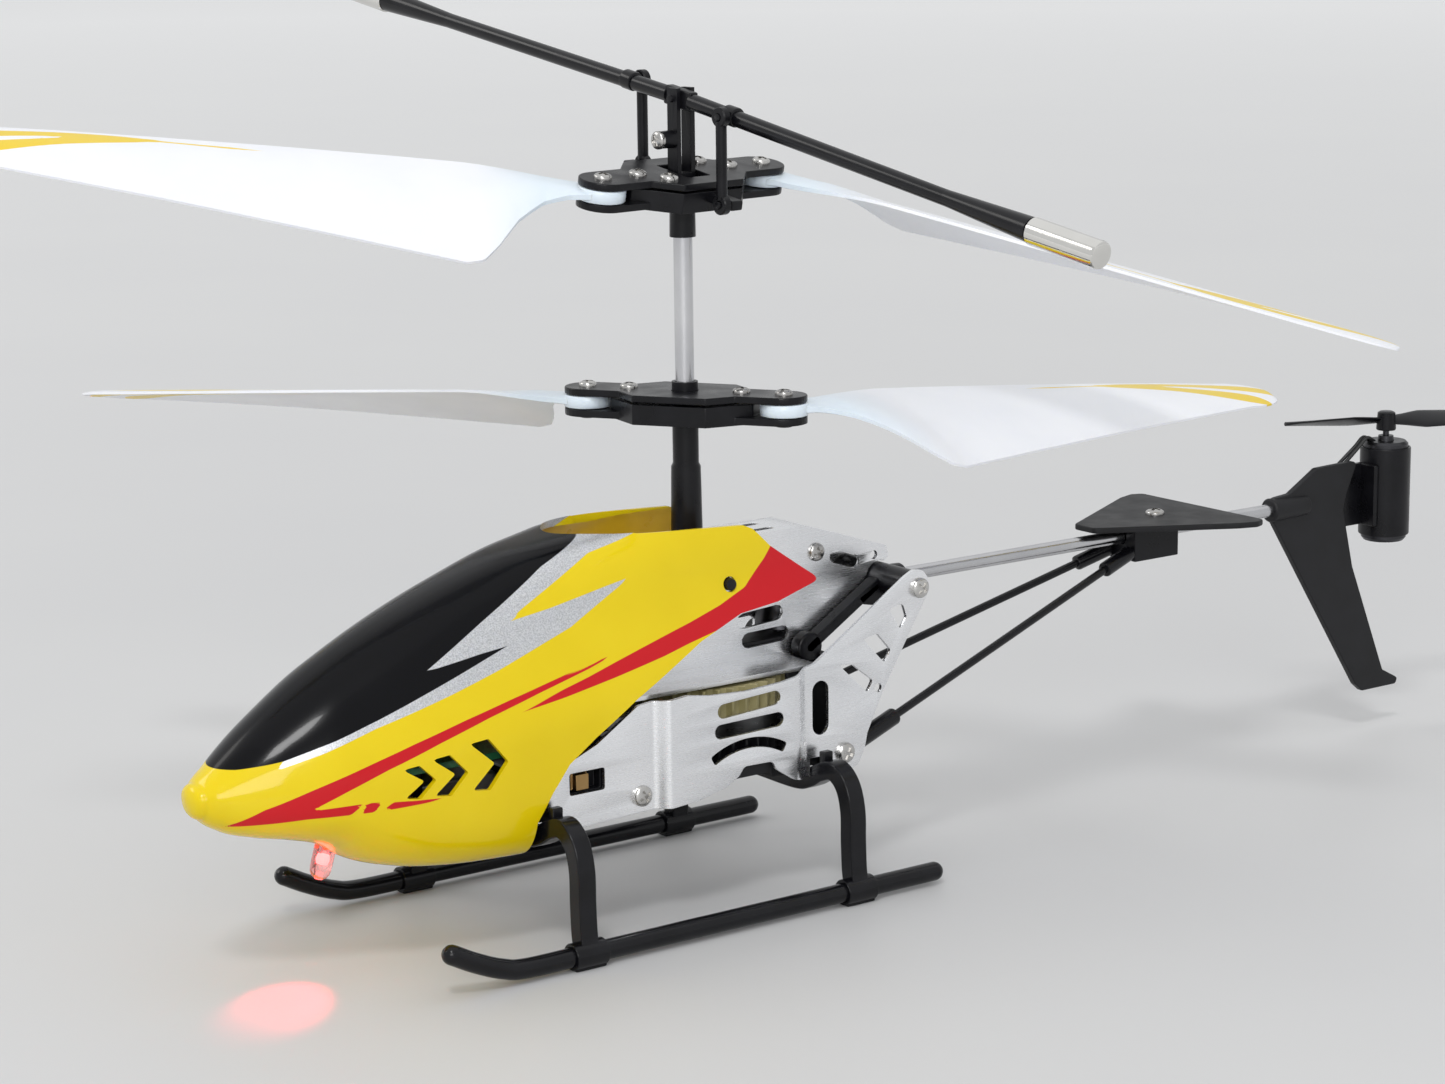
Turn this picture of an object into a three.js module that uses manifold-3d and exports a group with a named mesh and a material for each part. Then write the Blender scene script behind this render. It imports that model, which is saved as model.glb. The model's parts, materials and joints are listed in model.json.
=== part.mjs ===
// A small twin-rotor toy helicopter with a flybar, a folded-metal frame, a thin canopy and landing skids.
// Millimetres. +X is the nose, +Y the port side, +Z up. The rotor shafts stand on x = y = 0 while building,
// and the finished group is moved so that the middle of its footprint is the origin.
import * as THREE from "three";
import { mergeVertices } from "three/addons/utils/BufferGeometryUtils.js";
import Module from "manifold-3d";

const wasm = await Module();
wasm.setup();

// ---------------------------------------------------------------- driving dimensions
const SIDES = 14; // facets round an ordinary cylinder
const GAP = 0.3; // air between neighbouring pieces
const RUNNING = 0.08; // radial play of a turning shaft in its hole
const DEG = Math.PI / 180;

const SHEET = 0.6; // folded metal thickness
const FRONT_STRUT_X = 32.4;
const REAR_STRUT_X = -12.5;
const SKID_Y = 21.6;
const SKID_Z = 1.85;
const SKID_RADIUS = 1.35;
const COLLAR_RADIUS = 1.85;
const COLLAR_LENGTH = 5;
const STRUT_WIDTH = 2.6;

const FLAT_Y = 13.2; // outer face of the flat parts of a side plate
const BULGE_Y = 15.0; // outer face of its bulged middle
const FLOOR_BOTTOM = 17.2;
const FLOOR_TOP = 19.6;
const SHELF_BOTTOM = 31.5; // flanges of the upper frame
const SHELF_Y = 12.2;
const CHANNEL_Y = 4.2; // outer face of the upper frame's walls
const CHANNEL_TOP = 49.6;
const CHANNEL_FRONT = 24;

const INNER_SHAFT_RADIUS = 1.3;
const OUTER_SHAFT_RADIUS = 1.8;
const GEAR_TEETH = 40;
const PINION_TEETH = 8;
const GEAR_PITCH_RADIUS = 13;
const PINION_PITCH_RADIUS = GEAR_PITCH_RADIUS * PINION_TEETH / GEAR_TEETH;
const PINION_X = GEAR_PITCH_RADIUS + PINION_PITCH_RADIUS;
const ADDENDUM = 0.35;
const DEDENDUM = 0.7;
const UPPER_GEAR_BOTTOM = 26.5;
const UPPER_GEAR_TOP = 31.0;
const LOWER_GEAR_BOTTOM = 20.8;
const LOWER_GEAR_TOP = 23.6;
const MOTOR_RADIUS = 3.3;
const MOTOR_BOTTOM = 34.5;
const MOTOR_TOP = 47.6;

const LOWER_HUB_Z = 68.3; // blade plane of the lower rotor
const UPPER_HUB_Z = 98.4; // blade plane and tilt axis of the upper rotor
const FLYBAR_Z = 110; // tilt axis of the flybar
const HEAD_TILT = -10.5; // flybar and upper hub at rest, port side down
const UPPER_ARM_AZIMUTH = 6;
const LOWER_ARM_AZIMUTH = 124;
const UPPER_SWING_A = -34;
const UPPER_SWING_B = -55;
const LOWER_SWING_A = 56;
const LOWER_SWING_B = -9.5;
// How far each blade hangs below its hub plane: their hinges are slack, so no two rest alike.
const UPPER_DROOP_A = -0.9;
const UPPER_DROOP_B = 6.2;
const LOWER_DROOP_A = 4.5;
const LOWER_DROOP_B = 3.7;

const HUB_HALF_LENGTH = 17.5;
const HUB_HALF_WIDTH = 3.4;
const HUB_WAIST = [[5.3, 6.4], [10.4, 1.5]]; // corners of the six-sided middle
const HINGE_X = 14.3;
const PIVOT_RADIUS = 0.85;
const BLADE_ROOT_HALF = 0.85; // half the thickness of a blade at its hinge
const POST_HALF_X = 1.6;
const POST_HALF_Y = 1.0;
const LINK_Y = 10.4;
const LINK_X = 2.0; // how far a link hangs to one side of the flybar and the hub's horn
const LINK_EYE_HALF = 0.6;
const LINK_PIN_RADIUS = 0.5;
const FLYBAR_RADIUS = 1.05;
const FLYBAR_END = 65.5;
const WEIGHT_RADIUS = 1.8;
const WEIGHT_LENGTH = 11.5;

const BOOM_Z = 39.1;
const BOOM_RADIUS = 1.05;
const BOOM_FRONT = -33.5;
const BOOM_REAR = -119;
const CROSSBAR_X = -30.6;
const CROSSBAR_Z = 40.5;
const CROSSBAR_RADIUS = 2.2;
const CLAMP_FRONT = -81;
const CLAMP_REAR = -90;
const TAIL_MOTOR_X = -138.5;
const TAIL_MOTOR_RADIUS = 3.6;
const TAIL_SLEEVE_RADIUS = 4.05;
const TAIL_ROTOR_Z = 50.6;
const TAIL_ROTOR_RADIUS = 16.9;
const TAIL_ROTOR_AZIMUTH = -26.5;

const SWITCH_X = 26.2;
const LOW_SCREWS = [[17.4, 18.7], [-17.2, 18.8]]; // screws that hold a side plate to the floor
const LED_RADIUS = 1.45;
const LED_LEAN = -17;
const LED_X = 59.1;
const LED_Z = 14.5;
const PEG_X = 0.5;
const PEG_Z = 44.9;
const PEG_RADIUS = 0.95;

const BLACK = 0x17181a;
const METAL = 0xb9bcc0;
const STEEL = 0xc9ccd0;
const YELLOW = 0xd9c400;
const WHITE = 0xeeeeea;
const OLIVE = 0x8c8a62;

// ---------------------------------------------------------------- helpers
function solidOf(geometry) {
  const flat = geometry.clone();
  flat.deleteAttribute("normal");
  flat.deleteAttribute("uv");
  const merged = mergeVertices(flat, 1e-4);
  const index = merged.index ? merged.index.array : merged.getAttribute("position").array.map((_, i) => i);
  return new wasm.Manifold(
    new wasm.Mesh({
      numProp: 3,
      vertProperties: new Float32Array(merged.getAttribute("position").array),
      triVerts: new Uint32Array(index),
    }),
  );
}

function geometryOf(solid) {
  const mesh = solid.getMesh();
  const positions = new Float32Array(mesh.numVert * 3);
  for (let i = 0; i < mesh.numVert; i += 1) {
    positions.set(mesh.vertProperties.subarray(i * mesh.numProp, i * mesh.numProp + 3), i * 3);
  }
  const geometry = new THREE.BufferGeometry();
  geometry.setAttribute("position", new THREE.BufferAttribute(positions, 3));
  geometry.setIndex(new THREE.BufferAttribute(new Uint32Array(mesh.triVerts), 1));
  const flat = geometry.toNonIndexed();
  flat.computeVertexNormals();
  return flat;
}

const moved = (solid, matrix) => solid.transform(matrix.elements);
const translation = (x, y, z) => new THREE.Matrix4().makeTranslation(x, y, z);
const turnX = (degrees) => new THREE.Matrix4().makeRotationX(degrees * DEG);
const turnY = (degrees) => new THREE.Matrix4().makeRotationY(degrees * DEG);
const turnZ = (degrees) => new THREE.Matrix4().makeRotationZ(degrees * DEG);
const chained = (...matrices) => matrices.reduce((a, b) => a.clone().multiply(b));
const joined = (...solids) => solids.reduce((a, b) => a.add(b));
const mirroredY = (solid) => solid.mirror([0, 1, 0]);

function box(xLow, xHigh, yLow, yHigh, zLow, zHigh) {
  const geometry = new THREE.BoxGeometry(xHigh - xLow, yHigh - yLow, zHigh - zLow);
  geometry.translate((xLow + xHigh) / 2, (yLow + yHigh) / 2, (zLow + zHigh) / 2);
  return solidOf(geometry);
}

function rod(from, to, radius, endRadius = radius, sides = SIDES) {
  const start = new THREE.Vector3(...from);
  const end = new THREE.Vector3(...to);
  const length = start.distanceTo(end);
  const geometry = new THREE.CylinderGeometry(endRadius, radius, length, sides);
  const along = end.clone().sub(start).normalize();
  geometry.applyQuaternion(new THREE.Quaternion().setFromUnitVectors(new THREE.Vector3(0, 1, 0), along));
  const middle = start.add(end).multiplyScalar(0.5);
  geometry.translate(middle.x, middle.y, middle.z);
  return solidOf(geometry);
}

function turned(profile, sides = SIDES) {
  const points = profile.map(([r, z]) => new THREE.Vector2(r, z));
  const geometry = new THREE.LatheGeometry(points, sides);
  geometry.rotateX(90 * DEG);
  const solid = solidOf(geometry);
  return solid.volume() < 0 ? solidOf(reversed(geometry)) : solid;
}

function reversed(geometry) {
  const copy = geometry.clone();
  const index = copy.index.array;
  for (let i = 0; i < index.length; i += 3) {
    const first = index[i];
    index[i] = index[i + 1];
    index[i + 1] = first;
  }
  return copy;
}

// An outline in x and y, raised from zLow to zHigh.
function slab(outline, zLow, zHigh) {
  const shape = new THREE.Shape(outline.map(([x, y]) => new THREE.Vector2(x, y)));
  const geometry = new THREE.ExtrudeGeometry(shape, { depth: zHigh - zLow, bevelEnabled: false });
  geometry.translate(0, 0, zLow);
  return solidOf(geometry);
}

// An outline in x and z, spread from yLow to yHigh.
function side(outline, yLow, yHigh) {
  const upright = chained(translation(0, yHigh, 0), turnX(90));
  return moved(slab(outline, 0, yHigh - yLow), upright);
}

function roundedBar(halfLength, halfWidth, zLow, zHigh, facets = 7) {
  const outline = [];
  for (const end of [1, -1]) {
    for (let i = 0; i <= facets; i += 1) {
      const angle = (-90 + 180 * i / facets + (end < 0 ? 180 : 0)) * DEG;
      const centre = end * (halfLength - halfWidth);
      outline.push([centre + halfWidth * Math.cos(angle), halfWidth * Math.sin(angle)]);
    }
  }
  return slab(outline, zLow, zHigh);
}

// A long hole with round ends in the x-z plane, cut right across from yLow to yHigh.
function slot(from, to, radius, yLow, yHigh) {
  const along = Math.atan2(to[1] - from[1], to[0] - from[0]);
  const outline = [];
  for (const [centre, start] of [[to, along - Math.PI / 2], [from, along + Math.PI / 2]]) {
    for (let i = 0; i <= 5; i += 1) {
      const angle = start + Math.PI * i / 5;
      outline.push([centre[0] + radius * Math.cos(angle), centre[1] + radius * Math.sin(angle)]);
    }
  }
  return side(outline, yLow, yHigh);
}

function swept(points, halfWidth, halfHeight, steps, sides = 10) {
  const curve = new THREE.CatmullRomCurve3(points.map((p) => new THREE.Vector3(...p)), false, "catmullrom", 0.4);
  const outline = new THREE.Shape();
  for (let i = 0; i < sides; i += 1) {
    const angle = 2 * Math.PI * i / sides;
    const corner = [halfHeight * Math.cos(angle), halfWidth * Math.sin(angle)];
    if (i === 0) {
      outline.moveTo(...corner);
    } else {
      outline.lineTo(...corner);
    }
  }
  outline.closePath();
  const geometry = new THREE.ExtrudeGeometry(outline, { steps, extrudePath: curve });
  const solid = solidOf(geometry);
  return solid.volume() < 0 ? solidOf(turnedInsideOut(geometry)) : solid;
}

function turnedInsideOut(geometry) {
  const merged = mergeVertices(withoutExtras(geometry), 1e-4);
  return reversed(merged);
}

function withoutExtras(geometry) {
  const copy = geometry.clone();
  copy.deleteAttribute("normal");
  copy.deleteAttribute("uv");
  return copy;
}

// A closed skin through rings of equal numbers of points, with a flat cap at each end.
function loft(rings) {
  const count = rings[0].length;
  const points = rings.flat();
  const triangles = [];
  for (let r = 0; r + 1 < rings.length; r += 1) {
    for (let i = 0; i < count; i += 1) {
      const next = (i + 1) % count;
      const a = r * count + i;
      const b = r * count + next;
      triangles.push(a, b, a + count, b, b + count, a + count);
    }
  }
  const last = (rings.length - 1) * count;
  const [firstMiddle, lastMiddle] = [rings[0], rings[rings.length - 1]].map((ring) => {
    const sum = ring.reduce((s, p) => [s[0] + p[0], s[1] + p[1], s[2] + p[2]], [0, 0, 0]);
    points.push(sum.map((v) => v / count));
    return points.length - 1;
  });
  for (let i = 0; i < count; i += 1) {
    const next = (i + 1) % count;
    triangles.push(next, i, firstMiddle);
    triangles.push(last + i, last + next, lastMiddle);
  }
  const geometry = new THREE.BufferGeometry();
  geometry.setAttribute("position", new THREE.Float32BufferAttribute(points.flat(), 3));
  geometry.setIndex(triangles);
  const solid = solidOf(geometry);
  return solid.volume() < 0 ? solidOf(reversed(geometry)) : solid;
}

const part = new THREE.Group();

function addNode(name, solid, colour) {
  const material = new THREE.MeshStandardMaterial({ color: colour });
  const mesh = new THREE.Mesh(geometryOf(solid), material);
  mesh.name = name;
  part.add(mesh);
}

// ---------------------------------------------------------------- landing gear
function skid(sign) {
  const straightFront = 41.5;
  const path = [
    [-26.2, 0, 0],
    [-10, 0, 0],
    [10, 0, 0],
    [30, 0, 0],
    [straightFront, 0, 0],
    [45.5, 0, 0.7],
    [49.5, 0, 2.3],
    [53.7, 0, 4.4],
  ].map(([x, y, z]) => [x, y + sign * SKID_Y, z + SKID_Z]);
  return swept(path, SKID_RADIUS, SKID_RADIUS, 12, 10);
}

function strut(x) {
  const half = [
    [21.45, 2.6],
    [21.1, 4.6],
    [20.9, 8.5],
    [20.8, 12.9],
    [19.7, 16.2],
    [17.4, 17.9],
    [14.8, 17.3],
    [12.2, 15.9],
    [9.0, 15.1],
  ];
  const path = [...half, [0, 15.1], ...half.slice().reverse().map(([y, z]) => [-y, z])];
  const arch = swept(path.map(([y, z]) => [x, y, z]), STRUT_WIDTH / 2, 1.35, 26, 8);
  const pieces = [arch];
  for (const sign of [1, -1]) {
    const y = sign * SKID_Y;
    const from = [x - COLLAR_LENGTH / 2, y, SKID_Z];
    const to = [x + COLLAR_LENGTH / 2, y, SKID_Z];
    pieces.push(rod(from, to, COLLAR_RADIUS));
    pieces.push(box(from[0], to[0], y - 1.2, y + 1.2, 0, 0.6));
    pieces.push(box(x - 0.8, x + 0.8, Math.min(sign * 14.3, sign * 15.5), Math.max(sign * 14.3, sign * 15.5), 17, 20.2));
  }
  let solid = joined(...pieces);
  for (const sign of [1, -1]) {
    const y = sign * SKID_Y;
    solid = solid.subtract(rod([x - 4, y, SKID_Z], [x + 4, y, SKID_Z], SKID_RADIUS + RUNNING, SKID_RADIUS + RUNNING, 24));
  }
  return solid;
}

// ---------------------------------------------------------------- side plates and frame
// Outline of a side plate seen from the side: front arm, arched belly, triangular rear arm.
const SIDE_PLATE_OUTLINE = [
  [32.4, 16.1],
  [26.5, 16.05],
  [13.9, 16.6],
  [9.5, 16.9],
  [4.6, 18.0],
  [2.5, 19.2],
  [1.6, 20.4],
  [-3.2, 20.3],
  [-3.9, 19.0],
  [-6.9, 17.1],
  [-8.8, 16.6],
  [-17.8, 16.0],
  [-19.6, 16.8],
  [-20.7, 18.8],
  [-21.2, 21.0],
  [-24.0, 26.6],
  [-32.2, 39.6],
  [-32.3, 41.6],
  [-31.3, 42.9],
  [-29.6, 43.2],
  [-28.1, 42.5],
  [-12.0, 32.4],
  [-9.3, 31.8],
  [-5.0, 31.2],
  [1.0, 30.9],
  [7.0, 31.2],
  [11.0, 31.8],
  [17.8, 31.2],
  [24.5, 27.0],
  [29.0, 25.2],
  [32.4, 23.0],
];

function sidePlate() {
  const outer = [
    [33.0, FLAT_Y],
    [15.6, FLAT_Y],
    [13.6, BULGE_Y],
    [-7.4, BULGE_Y],
    [-10.6, FLAT_Y],
    [-35.0, FLAT_Y],
  ];
  const inner = outer.map(([x, y]) => [x, y - SHEET]).reverse();
  const folded = slab([...outer, ...inner], 10, 48);
  const high = BULGE_Y + 1;
  let plate = folded.intersect(side(SIDE_PLATE_OUTLINE, 5, high));
  const cuts = [
    slot([-3.6, 29.2], [5.0, 28.7], 1.0, 5, high),
    slot([-4.1, 26.1], [5.5, 25.9], 1.0, 5, high),
    archedSlot(high),
    slot([-12.9, 23.5], [-12.9, 28.4], 1.4, 5, high),
    side([[SWITCH_X - 2.8, 20.7], [SWITCH_X + 2.8, 20.7], [SWITCH_X + 2.8, 23.7], [SWITCH_X - 2.8, 23.7]], 5, high),
    side([[-25.1, 38.3], [-27.6, 38.6], [-28.3, 36.6], [-27.2, 34.9]], 5, high),
    side([[-20.4, 34.6], [-23.0, 35.0], [-25.4, 32.3], [-24.3, 30.6]], 5, high),
    side([[-16.1, 31.6], [-18.6, 31.2], [-22.2, 28.4], [-21.2, 26.8]], 5, high),
  ];
  for (const cut of cuts) {
    plate = plate.subtract(cut);
  }
  for (const [x, z] of [...LOW_SCREWS, [CROSSBAR_X, CROSSBAR_Z]]) {
    plate = plate.subtract(rod([x, 5, z], [x, high, z], 0.8, 0.8, 12));
  }
  return plate.subtract(rod([-23.1, 5, 27.2], [-23.1, high, 27.2], 0.6, 0.6, 10)).subtract(tabNotches(high));
}

function archedSlot(high) {
  const centreX = 0.8;
  const centreZ = 11.4;
  const middleRadius = 12.2;
  const halfWidth = 0.7;
  const edges = [[middleRadius + halfWidth, 120, 60], [middleRadius - halfWidth, 60, 120]];
  const outline = [];
  for (const [radius, from, to] of edges) {
    for (let i = 0; i <= 8; i += 1) {
      const angle = (from + (to - from) * i / 8) * DEG;
      outline.push([centreX + radius * Math.cos(angle), centreZ + radius * Math.sin(angle)]);
    }
  }
  return side(outline, 5, high);
}

function tabNotches(high) {
  const notch = (x) => box(x - 1.7, x + 1.7, 5, high, 10, 19.4);
  return notch(FRONT_STRUT_X).add(notch(REAR_STRUT_X));
}

// Outline of the upper frame's channel seen from the side.
const CHANNEL_OUTLINE = [
  [CHANNEL_FRONT, SHELF_BOTTOM],
  [CHANNEL_FRONT, CHANNEL_TOP],
  [-17.7, CHANNEL_TOP],
  [-31.9, 45.0],
  [-32.3, 43.4],
  [-15.0, SHELF_BOTTOM],
];

function upperFrame() {
  const shell = side(CHANNEL_OUTLINE, -CHANNEL_Y, CHANNEL_Y);
  const roofDrop = SHEET;
  const hollow = side(
    [
      [CHANNEL_FRONT + 1, SHELF_BOTTOM - 1],
      [CHANNEL_FRONT + 1, CHANNEL_TOP - roofDrop],
      [-17.8, CHANNEL_TOP - roofDrop],
      [-33.5, 43.85],
      [-33.5, SHELF_BOTTOM - 1],
    ],
    -CHANNEL_Y + SHEET,
    CHANNEL_Y - SHEET,
  );
  const shelf = box(-13.0, CHANNEL_FRONT, CHANNEL_Y - SHEET, SHELF_Y, SHELF_BOTTOM, SHELF_BOTTOM + SHEET);
  let frame = joined(shell.subtract(hollow), shelf, mirroredY(shelf));
  frame = frame.subtract(rod([0, 0, 40], [0, 0, 55], 2.6, 2.6, 24));
  const reach = CHANNEL_Y + 1;
  frame = frame.subtract(slot([-12.2, 38.0], [-6.4, 37.6], 1.1, -reach, reach));
  frame = frame.subtract(slot([-13.2, 34.9], [-7.2, 34.7], 1.1, -reach, reach));
  frame = frame.subtract(slot([-22.6, 44.6], [-26.1, 43.4], 0.95, -reach, reach));
  frame = frame.subtract(rod([-29.6, -reach, 43.9], [-29.6, reach, 43.9], 0.65, 0.65, 10));
  frame = frame.subtract(rod([PEG_X, -reach, PEG_Z], [PEG_X, reach, PEG_Z], PEG_RADIUS + 0.1, PEG_RADIUS + 0.1, 14));
  frame = frame.subtract(
    rod([CROSSBAR_X, -reach, CROSSBAR_Z], [CROSSBAR_X, reach, CROSSBAR_Z], CROSSBAR_RADIUS + GAP, CROSSBAR_RADIUS + GAP),
  );
  for (const x of [-5.2, -11.2]) {
    frame = frame.subtract(box(x - 2.4, x + 2.4, -2.4, -1.2, 45, 55));
    frame = frame.subtract(box(x - 2.4, x + 2.4, 1.2, 2.4, 45, 55));
  }
  return frame;
}

function chassis() {
  const halfWidth = FLAT_Y - SHEET - GAP;
  let solid = joined(
    box(-20.5, 32.5, -halfWidth, halfWidth, FLOOR_BOTTOM, FLOOR_TOP),
    box(20.4, 22.2, -8, 8, FLOOR_BOTTOM, SHELF_BOTTOM - GAP),
    box(-20.5, -18.9, -8, 8, FLOOR_BOTTOM, SHELF_BOTTOM - GAP),
    box(-3.8, 2.3, -halfWidth - 1.5, halfWidth + 1.5, FLOOR_BOTTOM, FLOOR_TOP + 0.7),
    rod([0, 0, 16.0], [0, 0, 20.2], 3.2),
  );
  solid = solid.subtract(rod([0, 0, 17.2], [0, 0, 21], INNER_SHAFT_RADIUS + RUNNING, INNER_SHAFT_RADIUS + RUNNING));
  for (const [x, z] of LOW_SCREWS) {
    for (const sign of [1, -1]) {
      solid = solid.subtract(rod([x, sign * 8, z], [x, sign * 14, z], 0.7, 0.7, 12));
    }
  }
  for (const x of [FRONT_STRUT_X, REAR_STRUT_X]) {
    for (const sign of [1, -1]) {
      solid = solid.subtract(box(x - 1.7, x + 1.7, sign > 0 ? 11 : -17, sign > 0 ? 17 : -11, 12, 19));
    }
  }
  for (const sign of [1, -1]) {
    const [near, far] = [sign * 8, sign * 16].sort((a, b) => a - b);
    solid = solid.subtract(box(-5.0, 3.6, near, far, FLOOR_BOTTOM - 1, FLOOR_BOTTOM + 1.3));
  }
  return solid;
}

// The web that fills the corner between a strap and the crossbar.
const BRACKET_WEB = [
  [-24.8, 38.6],
  [-25.8, 37.6],
  [-28.7, 37.0],
  [-31.0, 38.6],
  [-30.6, 41.4],
];

function rearBracket() {
  const reach = FLAT_Y - SHEET - GAP;
  let solid = rod([CROSSBAR_X, -reach, CROSSBAR_Z], [CROSSBAR_X, reach, CROSSBAR_Z], CROSSBAR_RADIUS);
  const low = [-16.4, 32.8];
  for (const sign of [1, -1]) {
    const yLow = sign > 0 ? CHANNEL_Y + GAP : -6.6;
    const yHigh = sign > 0 ? 6.6 : -CHANNEL_Y - GAP;
    solid = joined(solid, slot(low, [CROSSBAR_X, CROSSBAR_Z + 1.0], 0.75, yLow, yHigh));
    solid = joined(solid, side(BRACKET_WEB, yLow, yHigh));
    solid = joined(solid, rod([low[0], yLow, low[1]], [low[0], yHigh, low[1]], 2.1));
  }
  solid = joined(solid, rod([CROSSBAR_X, 0, BOOM_Z], [-38, 0, BOOM_Z], 2.1, 1.8));
  solid = solid.subtract(rod([BOOM_FRONT - 0.3, 0, BOOM_Z], [-50, 0, BOOM_Z], BOOM_RADIUS + 0.1, BOOM_RADIUS + 0.1, 24));
  for (const sign of [1, -1]) {
    const from = [CROSSBAR_X, sign * 6, CROSSBAR_Z];
    solid = solid.subtract(rod(from, [CROSSBAR_X, sign * 15, CROSSBAR_Z], 0.75, 0.75, 12));
  }
  return solid;
}

function motorMount() {
  const halfWidth = CHANNEL_Y - SHEET - 0.2;
  let solid = box(-18.4, 18.9, -halfWidth, halfWidth, SHELF_BOTTOM + SHEET + GAP, MOTOR_BOTTOM - GAP);
  const bearing = OUTER_SHAFT_RADIUS + RUNNING;
  solid = solid.subtract(rod([0, 0, 30], [0, 0, 36], bearing, bearing, 28));
  for (const x of [PINION_X, -PINION_X]) {
    solid = solid.subtract(rod([x, 0, 30], [x, 0, 36], 0.8, 0.8, 12));
  }
  return solid;
}

// ---------------------------------------------------------------- gears and shafts
function toothed(teeth, pitchRadius, zLow, zHigh, phase) {
  const outline = [];
  const pitchAngle = 2 * Math.PI / teeth;
  const corners = [
    [-0.28, pitchRadius - DEDENDUM],
    [-0.08, pitchRadius + ADDENDUM],
    [0.08, pitchRadius + ADDENDUM],
    [0.28, pitchRadius - DEDENDUM],
  ];
  for (let i = 0; i < teeth; i += 1) {
    for (const [share, radius] of corners) {
      const angle = (i + share + phase) * pitchAngle;
      outline.push([radius * Math.cos(angle), radius * Math.sin(angle)]);
    }
  }
  return slab(outline, zLow, zHigh);
}

function mainGear(zLow, zHigh, hubLow, hubHigh, shaftRadius) {
  const gear = toothed(GEAR_TEETH, GEAR_PITCH_RADIUS, zLow, zHigh, 0);
  const hub = rod([0, 0, hubLow], [0, 0, hubHigh], shaftRadius + 1.4);
  return joined(gear, hub).subtract(rod([0, 0, hubLow - 1], [0, 0, hubHigh + 1], shaftRadius + 0.06, shaftRadius + 0.06, 24));
}

function pinion(x, zLow, zHigh) {
  const shaftTop = MOTOR_BOTTOM + 3;
  const gear = toothed(PINION_TEETH, PINION_PITCH_RADIUS, zLow, zHigh, 0.5);
  const shaft = rod([0, 0, zLow], [0, 0, shaftTop], 0.5, 0.5, 12);
  return moved(joined(gear, shaft), translation(x, 0, 0));
}

function driveMotor(x) {
  const profile = [
    [0, MOTOR_BOTTOM],
    [1.4, MOTOR_BOTTOM],
    [1.4, MOTOR_BOTTOM + 0.5],
    [MOTOR_RADIUS, MOTOR_BOTTOM + 0.5],
    [MOTOR_RADIUS, MOTOR_TOP - 0.5],
    [MOTOR_RADIUS - 0.4, MOTOR_TOP],
    [0, MOTOR_TOP],
  ];
  const can = turned(profile);
  const bore = rod([0, 0, MOTOR_BOTTOM - 1], [0, 0, MOTOR_BOTTOM + 3.4], 0.5 + RUNNING, 0.5 + RUNNING, 14);
  return moved(can.subtract(bore), translation(x, 0, 0));
}

function outerShaft() {
  const bore = INNER_SHAFT_RADIUS + RUNNING;
  return turned([
    [bore, 25.7],
    [OUTER_SHAFT_RADIUS, 25.7],
    [OUTER_SHAFT_RADIUS, 50.3],
    [2.2, 50.6],
    [2.05, 59.7],
    [OUTER_SHAFT_RADIUS, 60.2],
    [OUTER_SHAFT_RADIUS, LOWER_HUB_Z + 3.2],
    [bore, LOWER_HUB_Z + 3.2],
    [bore, 25.7],
  ], 24);
}

// ---------------------------------------------------------------- rotors
// Blade outline at rising distances from its hinge: leading side, trailing side, pitch and thickness.
const BLADE_STATIONS = [
  [1.5, 2.9, -2.9, 0, 1.8],
  [4.5, 3.1, -3.3, 3, 1.7],
  [8.0, 3.3, -5.2, 9, 1.5],
  [11.5, 3.5, -9.4, 15, 1.3],
  [14.2, 3.6, -14.6, 19, 1.2],
  [16.2, 3.7, -17.4, 21, 1.1],
  [18.4, 3.8, -17.8, 22, 1.1],
  [27.0, 3.9, -16.4, 21, 1.1],
  [42.0, 3.9, -13.9, 19, 1.0],
  [58.0, 3.7, -11.2, 16.5, 1.0],
  [72.0, 3.3, -8.9, 14.5, 0.9],
  [82.0, 2.6, -7.1, 13, 0.9],
  [87.0, 1.5, -5.5, 12.5, 0.8],
  [89.6, -0.3, -3.6, 12, 0.7],
];

function blade(leadSide, droop) {
  const chordSteps = 3;
  const rings = BLADE_STATIONS.map(([x, lead, trail, pitch, thickness]) => {
    const ring = [];
    const drop = Math.max(0, x - 3) * Math.tan(droop * DEG);
    for (const face of [1, -1]) {
      for (let i = 0; i <= chordSteps; i += 1) {
        const share = face > 0 ? i / chordSteps : 1 - i / chordSteps;
        const y = lead + (trail - lead) * share;
        const edge = share === 0 || share === 1 ? 0.35 : 1;
        const camber = 0.05 * (lead - trail) * Math.sin(Math.PI * share) * Math.min(1, pitch / 10);
        const z = face * edge * thickness / 2 + camber;
        const cos = Math.cos(pitch * DEG);
        const sin = Math.sin(pitch * DEG);
        ring.push([x, leadSide * (y * cos - z * sin), y * sin + z * cos - drop]);
      }
    }
    return ring;
  });
  const root = rod([0, 0, -BLADE_ROOT_HALF], [0, 0, BLADE_ROOT_HALF], 3.3, 3.3, 24);
  const hole = rod([0, 0, -5], [0, 0, 5], PIVOT_RADIUS + RUNNING, PIVOT_RADIUS + RUNNING, 20);
  return joined(loft(rings), root).subtract(hole);
}

const HUB_PLATE_LOW = BLADE_ROOT_HALF + 0.12;
const HUB_BASE_BOTTOM = -2.1;
const HUB_COVER_TOP = 1.95;

// The six-sided middle of a hub, widest beside the shaft.
function hubMiddle(zLow, zHigh) {
  const right = HUB_WAIST.map(([x, y]) => [x, -y]).concat([...HUB_WAIST].reverse());
  const left = right.map(([x, y]) => [-x, -y]);
  return slab([...right, ...left], zLow, zHigh);
}

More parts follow.
